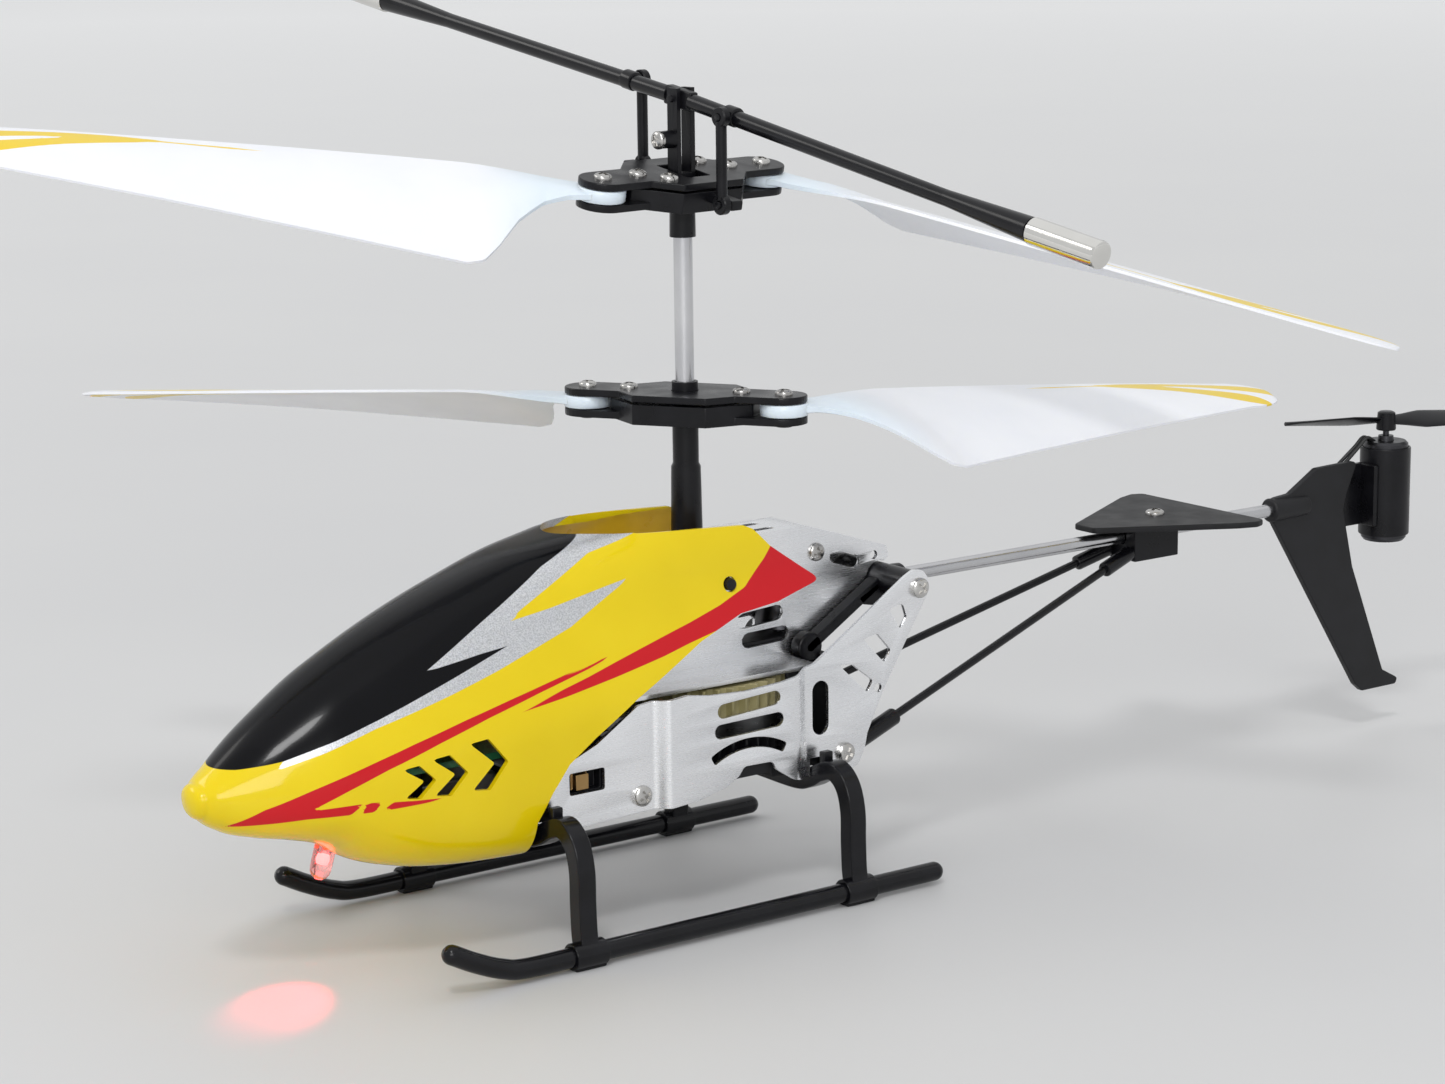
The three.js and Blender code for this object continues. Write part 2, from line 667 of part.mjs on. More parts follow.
function hubBase() {
  const bar = roundedBar(HUB_HALF_LENGTH, HUB_HALF_WIDTH, -HUB_COVER_TOP, -HUB_PLATE_LOW);
  return joined(bar, hubMiddle(HUB_BASE_BOTTOM, 0.67)).subtract(pivotHoles());
}

function hubCover() {
  const bar = roundedBar(HUB_HALF_LENGTH, HUB_HALF_WIDTH, HUB_PLATE_LOW, HUB_COVER_TOP);
  return joined(bar, hubMiddle(HUB_PLATE_LOW, HUB_COVER_TOP)).subtract(pivotHoles());
}

function pivotHoles() {
  const radius = PIVOT_RADIUS + RUNNING;
  const hole = (x) => rod([x, 0, -6], [x, 0, 6], radius, radius, 14);
  return hole(HINGE_X).add(hole(-HINGE_X));
}

function pivotScrew(x) {
  const shaft = rod([x, 0, -HUB_COVER_TOP], [x, 0, HUB_COVER_TOP + 0.1], PIVOT_RADIUS, PIVOT_RADIUS, 14);
  const head = rod([x, 0, HUB_COVER_TOP + 0.06], [x, 0, HUB_COVER_TOP + 0.9], 1.5, 1.1, 16);
  return joined(shaft, head);
}

function upperHubOpening() {
  const alongY = POST_HALF_Y + 2.2;
  return box(-POST_HALF_X - 0.4, POST_HALF_X + 0.4, -alongY, alongY, -8, 8);
}

function linkPin(sign) {
  const to = [sign * (LINK_X + LINK_EYE_HALF + 0.2), sign * LINK_Y, 0];
  return rod([0, sign * LINK_Y, 0], to, LINK_PIN_RADIUS, LINK_PIN_RADIUS, 10);
}

function upperHubBase() {
  const horn = box(-1.0, 1.0, POST_HALF_Y + 2.4, LINK_Y + 0.9, -0.8, 0.6);
  let solid = joined(hubBase(), horn, mirroredY(horn), linkPin(1), linkPin(-1));
  solid = solid.subtract(upperHubOpening());
  return solid.subtract(rod([-4.4, 0, 0], [4.4, 0, 0], LINK_PIN_RADIUS + RUNNING, LINK_PIN_RADIUS + RUNNING, 14));
}

const HEAD_SCREW_Z = 104.6;

function rotorHead() {
  const prongLow = 100.0;
  const prongTop = 111.4;
  let solid = joined(
    rod([0, 0, 91.3], [0, 0, 95.2], 1.8, 1.75),
    box(-POST_HALF_X, POST_HALF_X, -POST_HALF_Y, POST_HALF_Y, 94.8, prongTop),
    rod([-4.1, 0, UPPER_HUB_Z], [4.1, 0, UPPER_HUB_Z], LINK_PIN_RADIUS, LINK_PIN_RADIUS, 12),
    rod([1.5, 0, HEAD_SCREW_Z], [4.0, 0, HEAD_SCREW_Z], 1.25, 1.15, 14),
  );
  solid = solid.subtract(box(-0.9, 0.9, -3, 3, prongLow, prongTop + 1));
  solid = solid.add(rod([-2.1, 0, FLYBAR_Z], [2.1, 0, FLYBAR_Z], LINK_PIN_RADIUS, LINK_PIN_RADIUS, 12));
  solid = solid.subtract(rod([0, 0, 90], [0, 0, 94.3], INNER_SHAFT_RADIUS + 0.06, INNER_SHAFT_RADIUS + 0.06, 20));
  return solid.subtract(rod([2.2, 0, HEAD_SCREW_Z], [5, 0, HEAD_SCREW_Z], 0.7, 0.7, 12));
}

function headScrew() {
  return joined(
    rod([2.4, 0, HEAD_SCREW_Z], [4.3, 0, HEAD_SCREW_Z], 0.6, 0.6, 12),
    rod([4.08, 0, HEAD_SCREW_Z], [5.0, 0, HEAD_SCREW_Z], 1.3, 0.9, 14),
  );
}

function flybar() {
  const eyeHalf = 2.6;
  let solid = box(-0.75, 0.75, -eyeHalf, eyeHalf, -1.3, 1.3);
  for (const sign of [1, -1]) {
    const bar = rod([0, sign * (eyeHalf - 0.4), 0], [0, sign * FLYBAR_END, -0.9], 1.1, FLYBAR_RADIUS, 10);
    const sleeve = rod([0, sign * (FLYBAR_END - 15), -0.68], [0, sign * FLYBAR_END, -0.9], FLYBAR_RADIUS, 1.65, 10);
    const stub = rod([0, sign * FLYBAR_END, -0.9], [0, sign * (FLYBAR_END + 6), -1.0], 0.6, 0.6, 8);
    solid = joined(solid, bar, sleeve, stub, linkPin(sign));
  }
  const hole = LINK_PIN_RADIUS + RUNNING;
  return solid.subtract(rod([-4, 0, 0], [4, 0, 0], hole, hole, 14));
}

function flybarWeight(sign) {
  const start = FLYBAR_END + 0.1;
  const profile = [
    [0.65, start],
    [WEIGHT_RADIUS, start],
    [WEIGHT_RADIUS, start + WEIGHT_LENGTH - 0.6],
    [WEIGHT_RADIUS - 0.6, start + WEIGHT_LENGTH],
    [0, start + WEIGHT_LENGTH],
    [0, start + 6.4],
    [0.65, start + 6.4],
    [0.65, start],
  ];
  const weight = turned(profile, 22);
  return moved(weight, chained(translation(0, 0, -0.95), turnX(sign * -90)));
}

// A drop link: it hangs upright beside the tilted flybar and the tilted hub's horn, an eye at each end.
function link(sign, hubMatrix, flybarMatrix) {
  const local = new THREE.Vector3(0, sign * LINK_Y, 0);
  const top = local.clone().applyMatrix4(flybarMatrix);
  const length = top.z - local.clone().applyMatrix4(hubMatrix).z;
  const x = sign * LINK_X;
  let solid = rod([x, 0, 0], [x, 0, -length], 0.75, 0.75, 10);
  for (const z of [0, -length]) {
    solid = joined(solid, rod([x - LINK_EYE_HALF, 0, z], [x + LINK_EYE_HALF, 0, z], 1.35));
  }
  for (const z of [0, -length]) {
    const hole = LINK_PIN_RADIUS + RUNNING;
    solid = solid.subtract(rod([x - 1, 0, z], [x + 1, 0, z], hole, hole, 12));
  }
  return moved(solid, chained(translation(top.x, top.y, top.z), turnZ(UPPER_ARM_AZIMUTH)));
}

// ---------------------------------------------------------------- tail
function tailClamp() {
  let solid = box(CLAMP_REAR, CLAMP_FRONT, -3.2, 3.2, 35.6, 40.5);
  const bore = BOOM_RADIUS + 0.1;
  solid = solid.subtract(rod([-95, 0, BOOM_Z], [-75, 0, BOOM_Z], bore, bore, 24));
  return solid.subtract(rod([-88, 0, 40.3], [-88, 0, 42], 0.7, 0.7, 12));
}

function horizontalFin() {
  const outline = [
    [-73.5, -2.2],
    [-73.5, 2.2],
    [-93.0, 13.2],
    [-96.0, 14.2],
    [-98.0, 13.4],
    [-98.0, -13.4],
    [-96.0, -14.2],
    [-93.0, -13.2],
  ].reverse();
  return slab(outline, 40.8, 41.7).subtract(rod([-88, 0, 40], [-88, 0, 43], 0.7, 0.7, 12));
}

function finScrew() {
  return joined(
    rod([-88, 0, 40.6], [-88, 0, 42.1], 0.6, 0.6, 12),
    rod([-88, 0, 41.76], [-88, 0, 42.6], 1.5, 1.1, 16),
  );
}

function verticalFin() {
  const outline = [
    [-113.0, 37.2],
    [-113.0, 41.0],
    [-116.6, 41.3],
    [-122.5, 44.7],
    [-131.6, 44.9],
    [-129.2, 39.7],
    [-128.6, 37.3],
    [-131.0, 27.7],
    [-138.6, 9.5],
    [-142.2, 7.6],
    [-141.8, 6.6],
    [-134.0, 6.6],
    [-132.4, 7.9],
  ];
  const socket = rod([-112.4, 0, BOOM_Z], [-120.5, 0, BOOM_Z], 1.9, 1.7);
  const solid = joined(side(outline, -0.6, 0.6), socket);
  return solid.subtract(rod([-110, 0, BOOM_Z], [BOOM_REAR - 0.3, 0, BOOM_Z], BOOM_RADIUS + 0.1, BOOM_RADIUS + 0.1, 24));
}

function tailMotorHolder() {
  const sleeve = rod([0, 0, 32.2], [0, 0, 46.4], TAIL_SLEEVE_RADIUS, TAIL_SLEEVE_RADIUS, 28);
  const bore = TAIL_MOTOR_RADIUS + 0.1;
  const lug = box(1.5, 10.5, -2.1, -0.9, 34.0, 44.0);
  const web = box(3.2, 4.6, -2.1, 2.1, 34.0, 44.0);
  const solid = joined(sleeve, lug, web).subtract(rod([0, 0, 30], [0, 0, 50], bore, bore, 28));
  return moved(solid, translation(TAIL_MOTOR_X, 0, 0));
}

function tailMotor() {
  const can = turned([
    [0, 31.2],
    [TAIL_MOTOR_RADIUS - 0.4, 31.2],
    [TAIL_MOTOR_RADIUS, 31.7],
    [TAIL_MOTOR_RADIUS, 47.0],
    [TAIL_MOTOR_RADIUS - 0.4, 47.4],
    [1.2, 47.4],
    [1.2, 48.2],
    [0.5, 48.2],
    [0.5, TAIL_ROTOR_Z + 0.6],
    [0, TAIL_ROTOR_Z + 0.6],
  ]);
  return moved(can, translation(TAIL_MOTOR_X, 0, 0));
}

function tailRotor() {
  const bladeRings = [
    [0.8, 1.1, 30],
    [3.0, 1.5, 30],
    [6.0, 2.4, 26],
    [11.0, 2.5, 20],
    [15.2, 2.1, 16],
    [TAIL_ROTOR_RADIUS, 0.9, 14],
  ].map(([x, halfChord, pitch]) => {
    const cos = Math.cos(pitch * DEG);
    const sin = Math.sin(pitch * DEG);
    const corners = [[halfChord, 0.1], [0, 0.4], [-halfChord, 0.1], [-halfChord, -0.1], [0, -0.3], [halfChord, -0.1]];
    return corners.map(([y, z]) => [x, y * cos - z * sin, y * sin + z * cos]);
  });
  const one = loft(bladeRings);
  const hub = rod([0, 0, -1.5], [0, 0, 1.5], 1.6, 1.4);
  let solid = joined(hub, one, moved(one, turnZ(180)));
  solid = solid.subtract(rod([0, 0, -3], [0, 0, 0.9], 0.5 + RUNNING, 0.5 + RUNNING, 16));
  const place = chained(translation(TAIL_MOTOR_X, 0, TAIL_ROTOR_Z), turnZ(TAIL_ROTOR_AZIMUTH));
  return moved(solid, place);
}

function supportRod() {
  const front = new THREE.Vector3(-21.3, 11.0, 19.4);
  const rear = new THREE.Vector3(CLAMP_FRONT + GAP, 2.3, 37.0);
  const at = (share) => front.clone().lerp(rear, share).toArray();
  return joined(
    rod(at(0), at(1), 0.6, 0.6, 10),
    rod(at(0), at(0.125), 1.25, 1.25, 14),
    rod(at(0.9), at(1), 1.15, 1.15, 14),
  );
}

// ---------------------------------------------------------------- canopy, lamp and inner pieces
// Canopy cross-sections: position along the body, roof height, belly height, height of the widest line,
// half-width, squareness of the roof and how much the roof narrows.
const CANOPY_STATIONS = [
  [-17.0, 54.0, 12.0, 27.0, 14.4, 7.0, 0.28],
  [0.0, 54.4, 12.0, 27.0, 14.4, 7.0, 0.28],
  [10.0, 54.8, 12.0, 27.0, 14.4, 6.0, 0.28],
  [18.0, 54.2, 12.2, 27.0, 14.4, 4.4, 0.27],
  [31.0, 52.0, 12.6, 26.0, 14.3, 3.0, 0.23],
  [38.0, 49.9, 12.5, 25.5, 14.0, 2.6, 0.19],
  [45.0, 47.4, 12.6, 25.0, 13.4, 2.4, 0.14],
  [52.0, 44.5, 13.4, 24.7, 12.6, 2.2, 0.1],
  [56.5, 42.3, 14.8, 24.6, 11.7, 2.1, 0.07],
  [61.0, 39.9, 17.4, 24.6, 10.7, 2.1, 0.05],
  [66.0, 36.7, 19.0, 24.8, 9.2, 2.0, 0.03],
  [70.5, 33.4, 20.0, 25.2, 7.4, 2.0, 0.0],
  [74.5, 30.1, 21.4, 25.6, 5.0, 2.0, 0.0],
  [77.0, 28.0, 23.3, 26.0, 2.7, 2.0, 0.0],
  [78.4, 26.7, 25.3, 26.0, 0.7, 2.0, 0.0],
];
const CANOPY_WALL = 0.7;

function canopyRing([x, roof, belly, waist, halfWidth, square, narrowing], inset) {
  const ring = [];
  const count = 20;
  const width = Math.max(0.2, halfWidth - inset);
  const up = Math.max(0.2, roof - waist - inset);
  const down = Math.max(0.2, waist - belly - inset);
  const bellySquareness = 2.2 + 2.4 * Math.min(1, Math.max(0, (60 - x) / 25));
  for (let i = 0; i < count; i += 1) {
    const angle = 2 * Math.PI * (i + 0.5) / count;
    const cos = Math.cos(angle);
    const sin = Math.sin(angle);
    const power = sin > 0 ? square : bellySquareness;
    const across = Math.sign(cos) * Math.abs(cos) ** (2 / power);
    const rise = Math.sign(sin) * Math.abs(sin) ** (2 / power);
    const height = sin > 0 ? rise * up : rise * down;
    const share = Math.min(1, Math.max(0, (height - 3.5) / 17));
    const ease = share * share * (3 - 2 * share);
    ring.push([x, across * width * (1 - narrowing * ease), waist + height]);
  }
  return ring;
}

function canopy() {
  const outside = loft(CANOPY_STATIONS.map((station) => canopyRing(station, 0)));
  const insideStations = CANOPY_STATIONS.map(([x, ...rest]) => [x < 0 ? x - 2 : x - CANOPY_WALL, ...rest]);
  const inside = loft(insideStations.map((station) => canopyRing(station, CANOPY_WALL)));
  let shell = outside.subtract(inside);
  const behind = [
    [-30, 70],
    [14.5, 70],
    [14.5, 53.3],
    [6.0, 52.9],
    [-2.9, 52.4],
    [-4.3, 51.8],
    [-6.8, 49.2],
    [-14.8, 43.6],
    [-7.0, 41.6],
    [-0.5, 40.9],
    [6.3, 38.2],
    [17.2, 32.4],
    [23.9, 28.3],
    [27.9, 25.4],
    [30.5, 21.9],
    [33.9, 17.4],
    [34.6, 15.0],
    [34.8, 5],
    [-30, 5],
  ].reverse();
  shell = shell.subtract(side(behind, -20, 20));
  const opening = [
    [23.2, 0],
    [21.0, -2.6],
    [17.5, -5.6],
    [13.0, -7.4],
    [8.0, -8.4],
    [-30, -8.4],
    [-30, 8.4],
    [8.0, 8.4],
    [13.0, 7.4],
    [17.5, 5.6],
    [21.0, 2.6],
  ].reverse();
  shell = shell.subtract(slab(opening, 48, 70));
  for (const chevron of chevrons()) {
    shell = shell.subtract(chevron);
  }
  shell = shell.subtract(rod([PEG_X, -20, PEG_Z], [PEG_X, 20, PEG_Z], PEG_RADIUS + 0.1, PEG_RADIUS + 0.1, 14));
  return shell.subtract(moved(rod([0, 0, -12], [0, 0, 3.5], LED_RADIUS + GAP), ledPlace()));
}

// Three arrow-shaped vents, each larger than the one ahead of it.
function chevrons() {
  return [
    [52.2, 26.4, 2.3, 1.9],
    [47.6, 26.7, 2.8, 2.0],
    [42.0, 27.3, 3.6, 2.1],
  ].map(([x, z, reach, width]) => {
    const outline = [
      [x, z - reach],
      [x - width, z],
      [x, z + reach],
      [x + width, z + reach - 0.3],
      [x - width * 0.1, z + 0.2],
      [x + width * 0.7, z - reach + 0.2],
    ];
    return side(outline, -20, 20);
  });
}

const ledPlace = () => chained(translation(LED_X, 0, LED_Z), turnY(LED_LEAN));

function noseLed() {
  const lens = turned([
    [0, -2.6],
    [0.8, -2.4],
    [1.3, -1.8],
    [LED_RADIUS, -1.0],
    [LED_RADIUS, 3.6],
    [0, 3.6],
  ]);
  const solid = joined(lens, rod([0, 0, 3.4], [0, 0, 4.4], LED_RADIUS + 0.25));
  return moved(solid, ledPlace());
}

function canopyPeg() {
  const inner = CHANNEL_Y - SHEET - 0.4;
  return joined(
    rod([PEG_X, inner + 0.2, PEG_Z], [PEG_X, CHANNEL_Y + 0.4, PEG_Z], PEG_RADIUS, PEG_RADIUS, 14),
    rod([PEG_X, CHANNEL_Y + 0.1, PEG_Z], [PEG_X, 8.6, PEG_Z], 1.7, 1.5, 16),
    rod([PEG_X, 8.5, PEG_Z], [PEG_X, 11.1, PEG_Z], PEG_RADIUS, PEG_RADIUS - 0.15, 14),
  );
}

function batteryTray() {
  let solid = box(34.0, 50.5, -7.6, 7.6, 15.0, 16.0).add(box(34.0, 34.9, -7.6, 7.6, 15.0, 24));
  for (const sign of [1, -1]) {
    solid = solid.add(rod([48.5, sign * 6.6, 15.5], [48.5, sign * 6.6, 25.9], 0.8, 0.8, 10));
  }
  return solid;
}

function powerSwitchBody() {
  const body = box(SWITCH_X - 3.4, SWITCH_X + 3.4, 8.8, 12.3, FLOOR_TOP + GAP, 25.0);
  return body.subtract(box(SWITCH_X - 2.6, SWITCH_X + 2.6, 10.9, 13, 20.8, 23.7));
}

function powerSwitchSlider() {
  const foot = box(SWITCH_X - 0.6, SWITCH_X + 2.0, 11.2, 12.2, 21.1, 23.4);
  return foot.add(box(SWITCH_X - 0.3, SWITCH_X + 1.7, 12.0, 13.1, 21.2, 23.3));
}

function frameScrew(x, z) {
  return joined(
    rod([x, FLAT_Y - 4.5, z], [x, FLAT_Y + 0.2, z], 0.6, 0.6, 10),
    rod([x, FLAT_Y + 0.06, z], [x, FLAT_Y + 0.9, z], 1.5, 1.1, 16),
  );
}

// ---------------------------------------------------------------- assembly
const upperHubMatrix = chained(translation(0, 0, UPPER_HUB_Z), turnZ(UPPER_ARM_AZIMUTH), turnX(HEAD_TILT));
const flybarMatrix = chained(translation(0, 0, FLYBAR_Z), turnZ(UPPER_ARM_AZIMUTH), turnX(HEAD_TILT));
const headMatrix = turnZ(UPPER_ARM_AZIMUTH);
const lowerHubMatrix = chained(translation(0, 0, LOWER_HUB_Z), turnZ(LOWER_ARM_AZIMUTH));

function bladeMatrix(hubMatrix, end, swing) {
  return chained(hubMatrix, translation(end * HINGE_X, 0, 0), turnZ(end > 0 ? swing : 180 + swing));
}

addNode("skid_port", skid(1), BLACK);
addNode("skid_starboard", skid(-1), BLACK);
addNode("front_strut", strut(FRONT_STRUT_X), BLACK);
addNode("rear_strut", strut(REAR_STRUT_X), BLACK);
addNode("side_plate_port", sidePlate(), METAL);
addNode("side_plate_starboard", mirroredY(sidePlate()), METAL);
addNode("upper_frame", upperFrame(), METAL);
addNode("chassis", chassis(), BLACK);
addNode("rear_bracket", rearBracket(), BLACK);
addNode("motor_mount", motorMount(), BLACK);
addNode("motor_front", driveMotor(PINION_X), STEEL);
addNode("motor_rear", driveMotor(-PINION_X), STEEL);
addNode("pinion_front", pinion(PINION_X, LOWER_GEAR_BOTTOM - 0.3, LOWER_GEAR_TOP + 0.3), STEEL);
addNode("pinion_rear", pinion(-PINION_X, UPPER_GEAR_BOTTOM - 0.3, UPPER_GEAR_TOP + 0.1), STEEL);
addNode("lower_main_gear", mainGear(LOWER_GEAR_BOTTOM, LOWER_GEAR_TOP, 20.6, 25.2, INNER_SHAFT_RADIUS), BLACK);
addNode("upper_main_gear", mainGear(UPPER_GEAR_BOTTOM, UPPER_GEAR_TOP, 26.0, 31.1, OUTER_SHAFT_RADIUS), OLIVE);
addNode("inner_shaft", rod([0, 0, 17.5], [0, 0, 94.1], INNER_SHAFT_RADIUS, INNER_SHAFT_RADIUS, 20), STEEL);
addNode("outer_shaft", outerShaft(), BLACK);

const shaftBore = rod([0, 0, -8], [0, 0, 8], OUTER_SHAFT_RADIUS + 0.06, OUTER_SHAFT_RADIUS + 0.06, 24);
addNode("lower_hub_base", moved(hubBase().subtract(shaftBore), lowerHubMatrix), BLACK);
addNode("lower_hub_cover", moved(hubCover().subtract(shaftBore), lowerHubMatrix), BLACK);
addNode("lower_blade_a", moved(blade(1, LOWER_DROOP_A), bladeMatrix(lowerHubMatrix, 1, LOWER_SWING_A)), WHITE);
addNode("lower_blade_b", moved(blade(1, LOWER_DROOP_B), bladeMatrix(lowerHubMatrix, -1, LOWER_SWING_B)), WHITE);
addNode("lower_pivot_screw_a", moved(pivotScrew(HINGE_X), lowerHubMatrix), STEEL);
addNode("lower_pivot_screw_b", moved(pivotScrew(-HINGE_X), lowerHubMatrix), STEEL);

addNode("rotor_head", moved(rotorHead(), headMatrix), BLACK);
addNode("head_screw", moved(headScrew(), headMatrix), STEEL);
addNode("upper_hub_base", moved(upperHubBase(), upperHubMatrix), BLACK);
addNode("upper_hub_cover", moved(hubCover().subtract(upperHubOpening()), upperHubMatrix), BLACK);
addNode("upper_blade_a", moved(blade(-1, UPPER_DROOP_A), bladeMatrix(upperHubMatrix, 1, UPPER_SWING_A)), WHITE);
addNode("upper_blade_b", moved(blade(-1, UPPER_DROOP_B), bladeMatrix(upperHubMatrix, -1, UPPER_SWING_B)), WHITE);
addNode("upper_pivot_screw_a", moved(pivotScrew(HINGE_X), upperHubMatrix), STEEL);
addNode("upper_pivot_screw_b", moved(pivotScrew(-HINGE_X), upperHubMatrix), STEEL);
addNode("flybar", moved(flybar(), flybarMatrix), BLACK);
addNode("flybar_weight_port", moved(flybarWeight(1), flybarMatrix), STEEL);
addNode("flybar_weight_starboard", moved(flybarWeight(-1), flybarMatrix), STEEL);
addNode("link_port", link(1, upperHubMatrix, flybarMatrix), BLACK);
addNode("link_starboard", link(-1, upperHubMatrix, flybarMatrix), BLACK);

addNode("tail_boom", rod([BOOM_FRONT - 0.6, 0, BOOM_Z], [BOOM_REAR, 0, BOOM_Z], BOOM_RADIUS), STEEL);
addNode("tail_clamp", tailClamp(), BLACK);
addNode("horizontal_fin", horizontalFin(), BLACK);
addNode("fin_screw", finScrew(), STEEL);
addNode("vertical_fin", verticalFin(), BLACK);
addNode("tail_motor_holder", tailMotorHolder(), BLACK);
addNode("tail_motor", tailMotor(), STEEL);
addNode("tail_rotor", tailRotor(), BLACK);
addNode("support_rod_port", supportRod(), BLACK);
addNode("support_rod_starboard", mirroredY(supportRod()), BLACK);

addNode("canopy", canopy(), YELLOW);
addNode("canopy_peg_port", canopyPeg(), BLACK);
addNode("canopy_peg_starboard", mirroredY(canopyPeg()), BLACK);
addNode("nose_led", noseLed(), WHITE);
addNode("battery_tray", batteryTray(), BLACK);
addNode("battery", box(35.2, 49, -5.4, 5.4, 16.3, 23.6), METAL);
addNode("circuit_board", box(30, 52, -8.6, 8.6, 26.2, 27.2), OLIVE);
addNode("power_switch_body", powerSwitchBody(), BLACK);
addNode("power_switch_slider", powerSwitchSlider(), BLACK);

addNode("front_screw_port", frameScrew(...LOW_SCREWS[0]), STEEL);
addNode("front_screw_starboard", mirroredY(frameScrew(...LOW_SCREWS[0])), STEEL);
addNode("top_screw_port", frameScrew(CROSSBAR_X, CROSSBAR_Z), STEEL);
addNode("top_screw_starboard", mirroredY(frameScrew(CROSSBAR_X, CROSSBAR_Z)), STEEL);

const extent = new THREE.Box3().setFromObject(part);
part.position.set(-(extent.min.x + extent.max.x) / 2, -(extent.min.y + extent.max.y) / 2, -extent.min.z);

export default part;
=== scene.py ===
"""Looks of the small twin-rotor toy helicopter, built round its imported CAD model.

Shapes are drawn in millimetres in the ship's own frame: the rotor shafts stand on x = y = 0, +X is the nose,
+Y the port side and z = 0 the table. raw_object() brings them to metres in the row frame.
"""

import json
import math

import bmesh
import bpy
import numpy as np
from mathutils import Matrix, Vector


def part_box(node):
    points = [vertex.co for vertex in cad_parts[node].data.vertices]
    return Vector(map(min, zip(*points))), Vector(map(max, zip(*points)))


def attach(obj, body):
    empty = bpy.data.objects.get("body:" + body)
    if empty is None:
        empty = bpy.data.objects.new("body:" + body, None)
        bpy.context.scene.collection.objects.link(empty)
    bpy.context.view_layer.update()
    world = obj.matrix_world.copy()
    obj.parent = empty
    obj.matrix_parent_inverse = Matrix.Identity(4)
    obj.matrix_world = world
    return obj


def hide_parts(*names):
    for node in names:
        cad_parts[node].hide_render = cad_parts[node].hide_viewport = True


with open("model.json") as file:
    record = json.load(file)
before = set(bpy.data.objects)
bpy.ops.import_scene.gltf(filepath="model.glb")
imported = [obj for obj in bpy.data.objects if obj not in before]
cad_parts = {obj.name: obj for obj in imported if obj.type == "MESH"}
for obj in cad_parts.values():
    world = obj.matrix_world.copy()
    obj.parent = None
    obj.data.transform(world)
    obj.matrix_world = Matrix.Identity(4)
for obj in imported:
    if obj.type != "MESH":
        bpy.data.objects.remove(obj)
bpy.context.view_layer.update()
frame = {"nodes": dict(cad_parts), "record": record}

MM = 0.001
DEG = math.pi / 180
SIDES = (("port", 1), ("starboard", -1))


def middle(node):
    """The middle of a CAD node's box, in metres."""
    low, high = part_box(node)
    return (Vector(low) + Vector(high)) / 2


SHAFT = middle("inner_shaft")
SHIP = Vector((SHAFT.x, SHAFT.y, 0.0))
TO_ROW = Matrix.Translation(SHIP) @ Matrix.Scale(MM, 4)
JOINTS = {joint["name"]: joint for joint in frame["record"]["behaviour"]["joints"]}


def height_of(joint):
    """Height of a joint's centre over the table, in millimetres."""
    return JOINTS[joint]["pos_m"][2] / MM


def ship_box(node):
    """A CAD node's box in millimetres in the ship's frame."""
    low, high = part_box(node)
    return (Vector(low) - SHIP) / MM, (Vector(high) - SHIP) / MM


# ---------------------------------------------------------------- driving dimensions, millimetres
SKID_Y = 21.6
SKID_Z = 1.85
SKID_RADIUS = 1.35
STRUT_XS = {"front_strut": 32.4, "rear_strut": -12.5}
STRUT_HALF_ALONG = 1.35
STRUT_HALF_ACROSS = 1.3
COLLAR_RADIUS = 1.85
COLLAR_HALF = 2.5
SCREW_RADIUS = 1.45
SCREW_HEIGHT = 0.85

FLAT_Y = 13.2
BULGE_Y = 15.0
SHEET = 0.6
# Two bends end the raised part of a side plate: where each starts, and its length.
FRONT_BEND, FRONT_BEND_LENGTH = 15.7, 2.2
REAR_BEND, REAR_BEND_LENGTH = -10.7, 3.4
LOW_SCREWS = [(17.4, 18.7), (-17.2, 18.8)]
CROSSBAR = (-30.6, 40.5)
SWITCH_X = 26.2

LOWER_HUB_Z = height_of("lower_blade_a_swing")
UPPER_HUB_Z = height_of("upper_hub_tilt")
FLYBAR_Z = height_of("flybar_tilt")
HEAD_TILT = -10.5
UPPER_ARM_AZIMUTH = 6
LOWER_ARM_AZIMUTH = 124
HINGE_X = 14.3
HUB_SCREW_X = 8.2
HUB_HALF_LENGTH = 17.5
HUB_HALF_WIDTH = 3.4
HUB_FACE = 1.95
HUB_GAP = 0.97
BLADE_ROOT_RADIUS = 3.3
# Each blade: its body, its end of the hub, swing and droop in degrees, the side of its leading edge.
BLADES = {
    "upper_blade_a": ("upper_blade_first", 1, -34, -0.9, -1),
    "upper_blade_b": ("upper_blade_second", -1, -55, 6.2, -1),
    "lower_blade_a": ("lower_blade_first", 1, 56, 4.5, 1),
    "lower_blade_b": ("lower_blade_second", -1, -9.5, 3.7, 1),
}
LINK_Y = 10.4
LINK_X = 2.0
FLYBAR_END = 65.5
EYE_RADIUS = 1.35
EYE_HALF = 0.6

BOOM_Z = 39.1
TAIL_MOTOR_X = -138.5
TAIL_ROTOR_Z = height_of("tail_rotor_spin")
TAIL_ROTOR_AZIMUTH = -26.5
LED_X = 59.1
LED_Z = 14.5
LED_LEAN = -17
PEG = (0.5, 44.9)


# ---------------------------------------------------------------- mesh parts: (points, faces)
def grid_faces(rings, count):
    """Quads between rings of count points each."""
    faces = []
    for r in range(rings - 1):
        for i in range(count):
            j = (i + 1) % count
            faces.append((r * count + i, r * count + j, (r + 1) * count + j, (r + 1) * count + i))
    return faces


def end_caps(rings, count):
    """The two faces that close a tube of rings with count points each."""
    return [tuple(reversed(range(count))), tuple(range((rings - 1) * count, rings * count))]


def combined(*parts):
    """Several parts as one."""
    points, faces = [], []
    for part_points, part_faces in parts:
        start = len(points)
        points.extend([tuple(p) for p in part_points])
        faces.extend([tuple(i + start for i in face) for face in part_faces])
    return points, faces


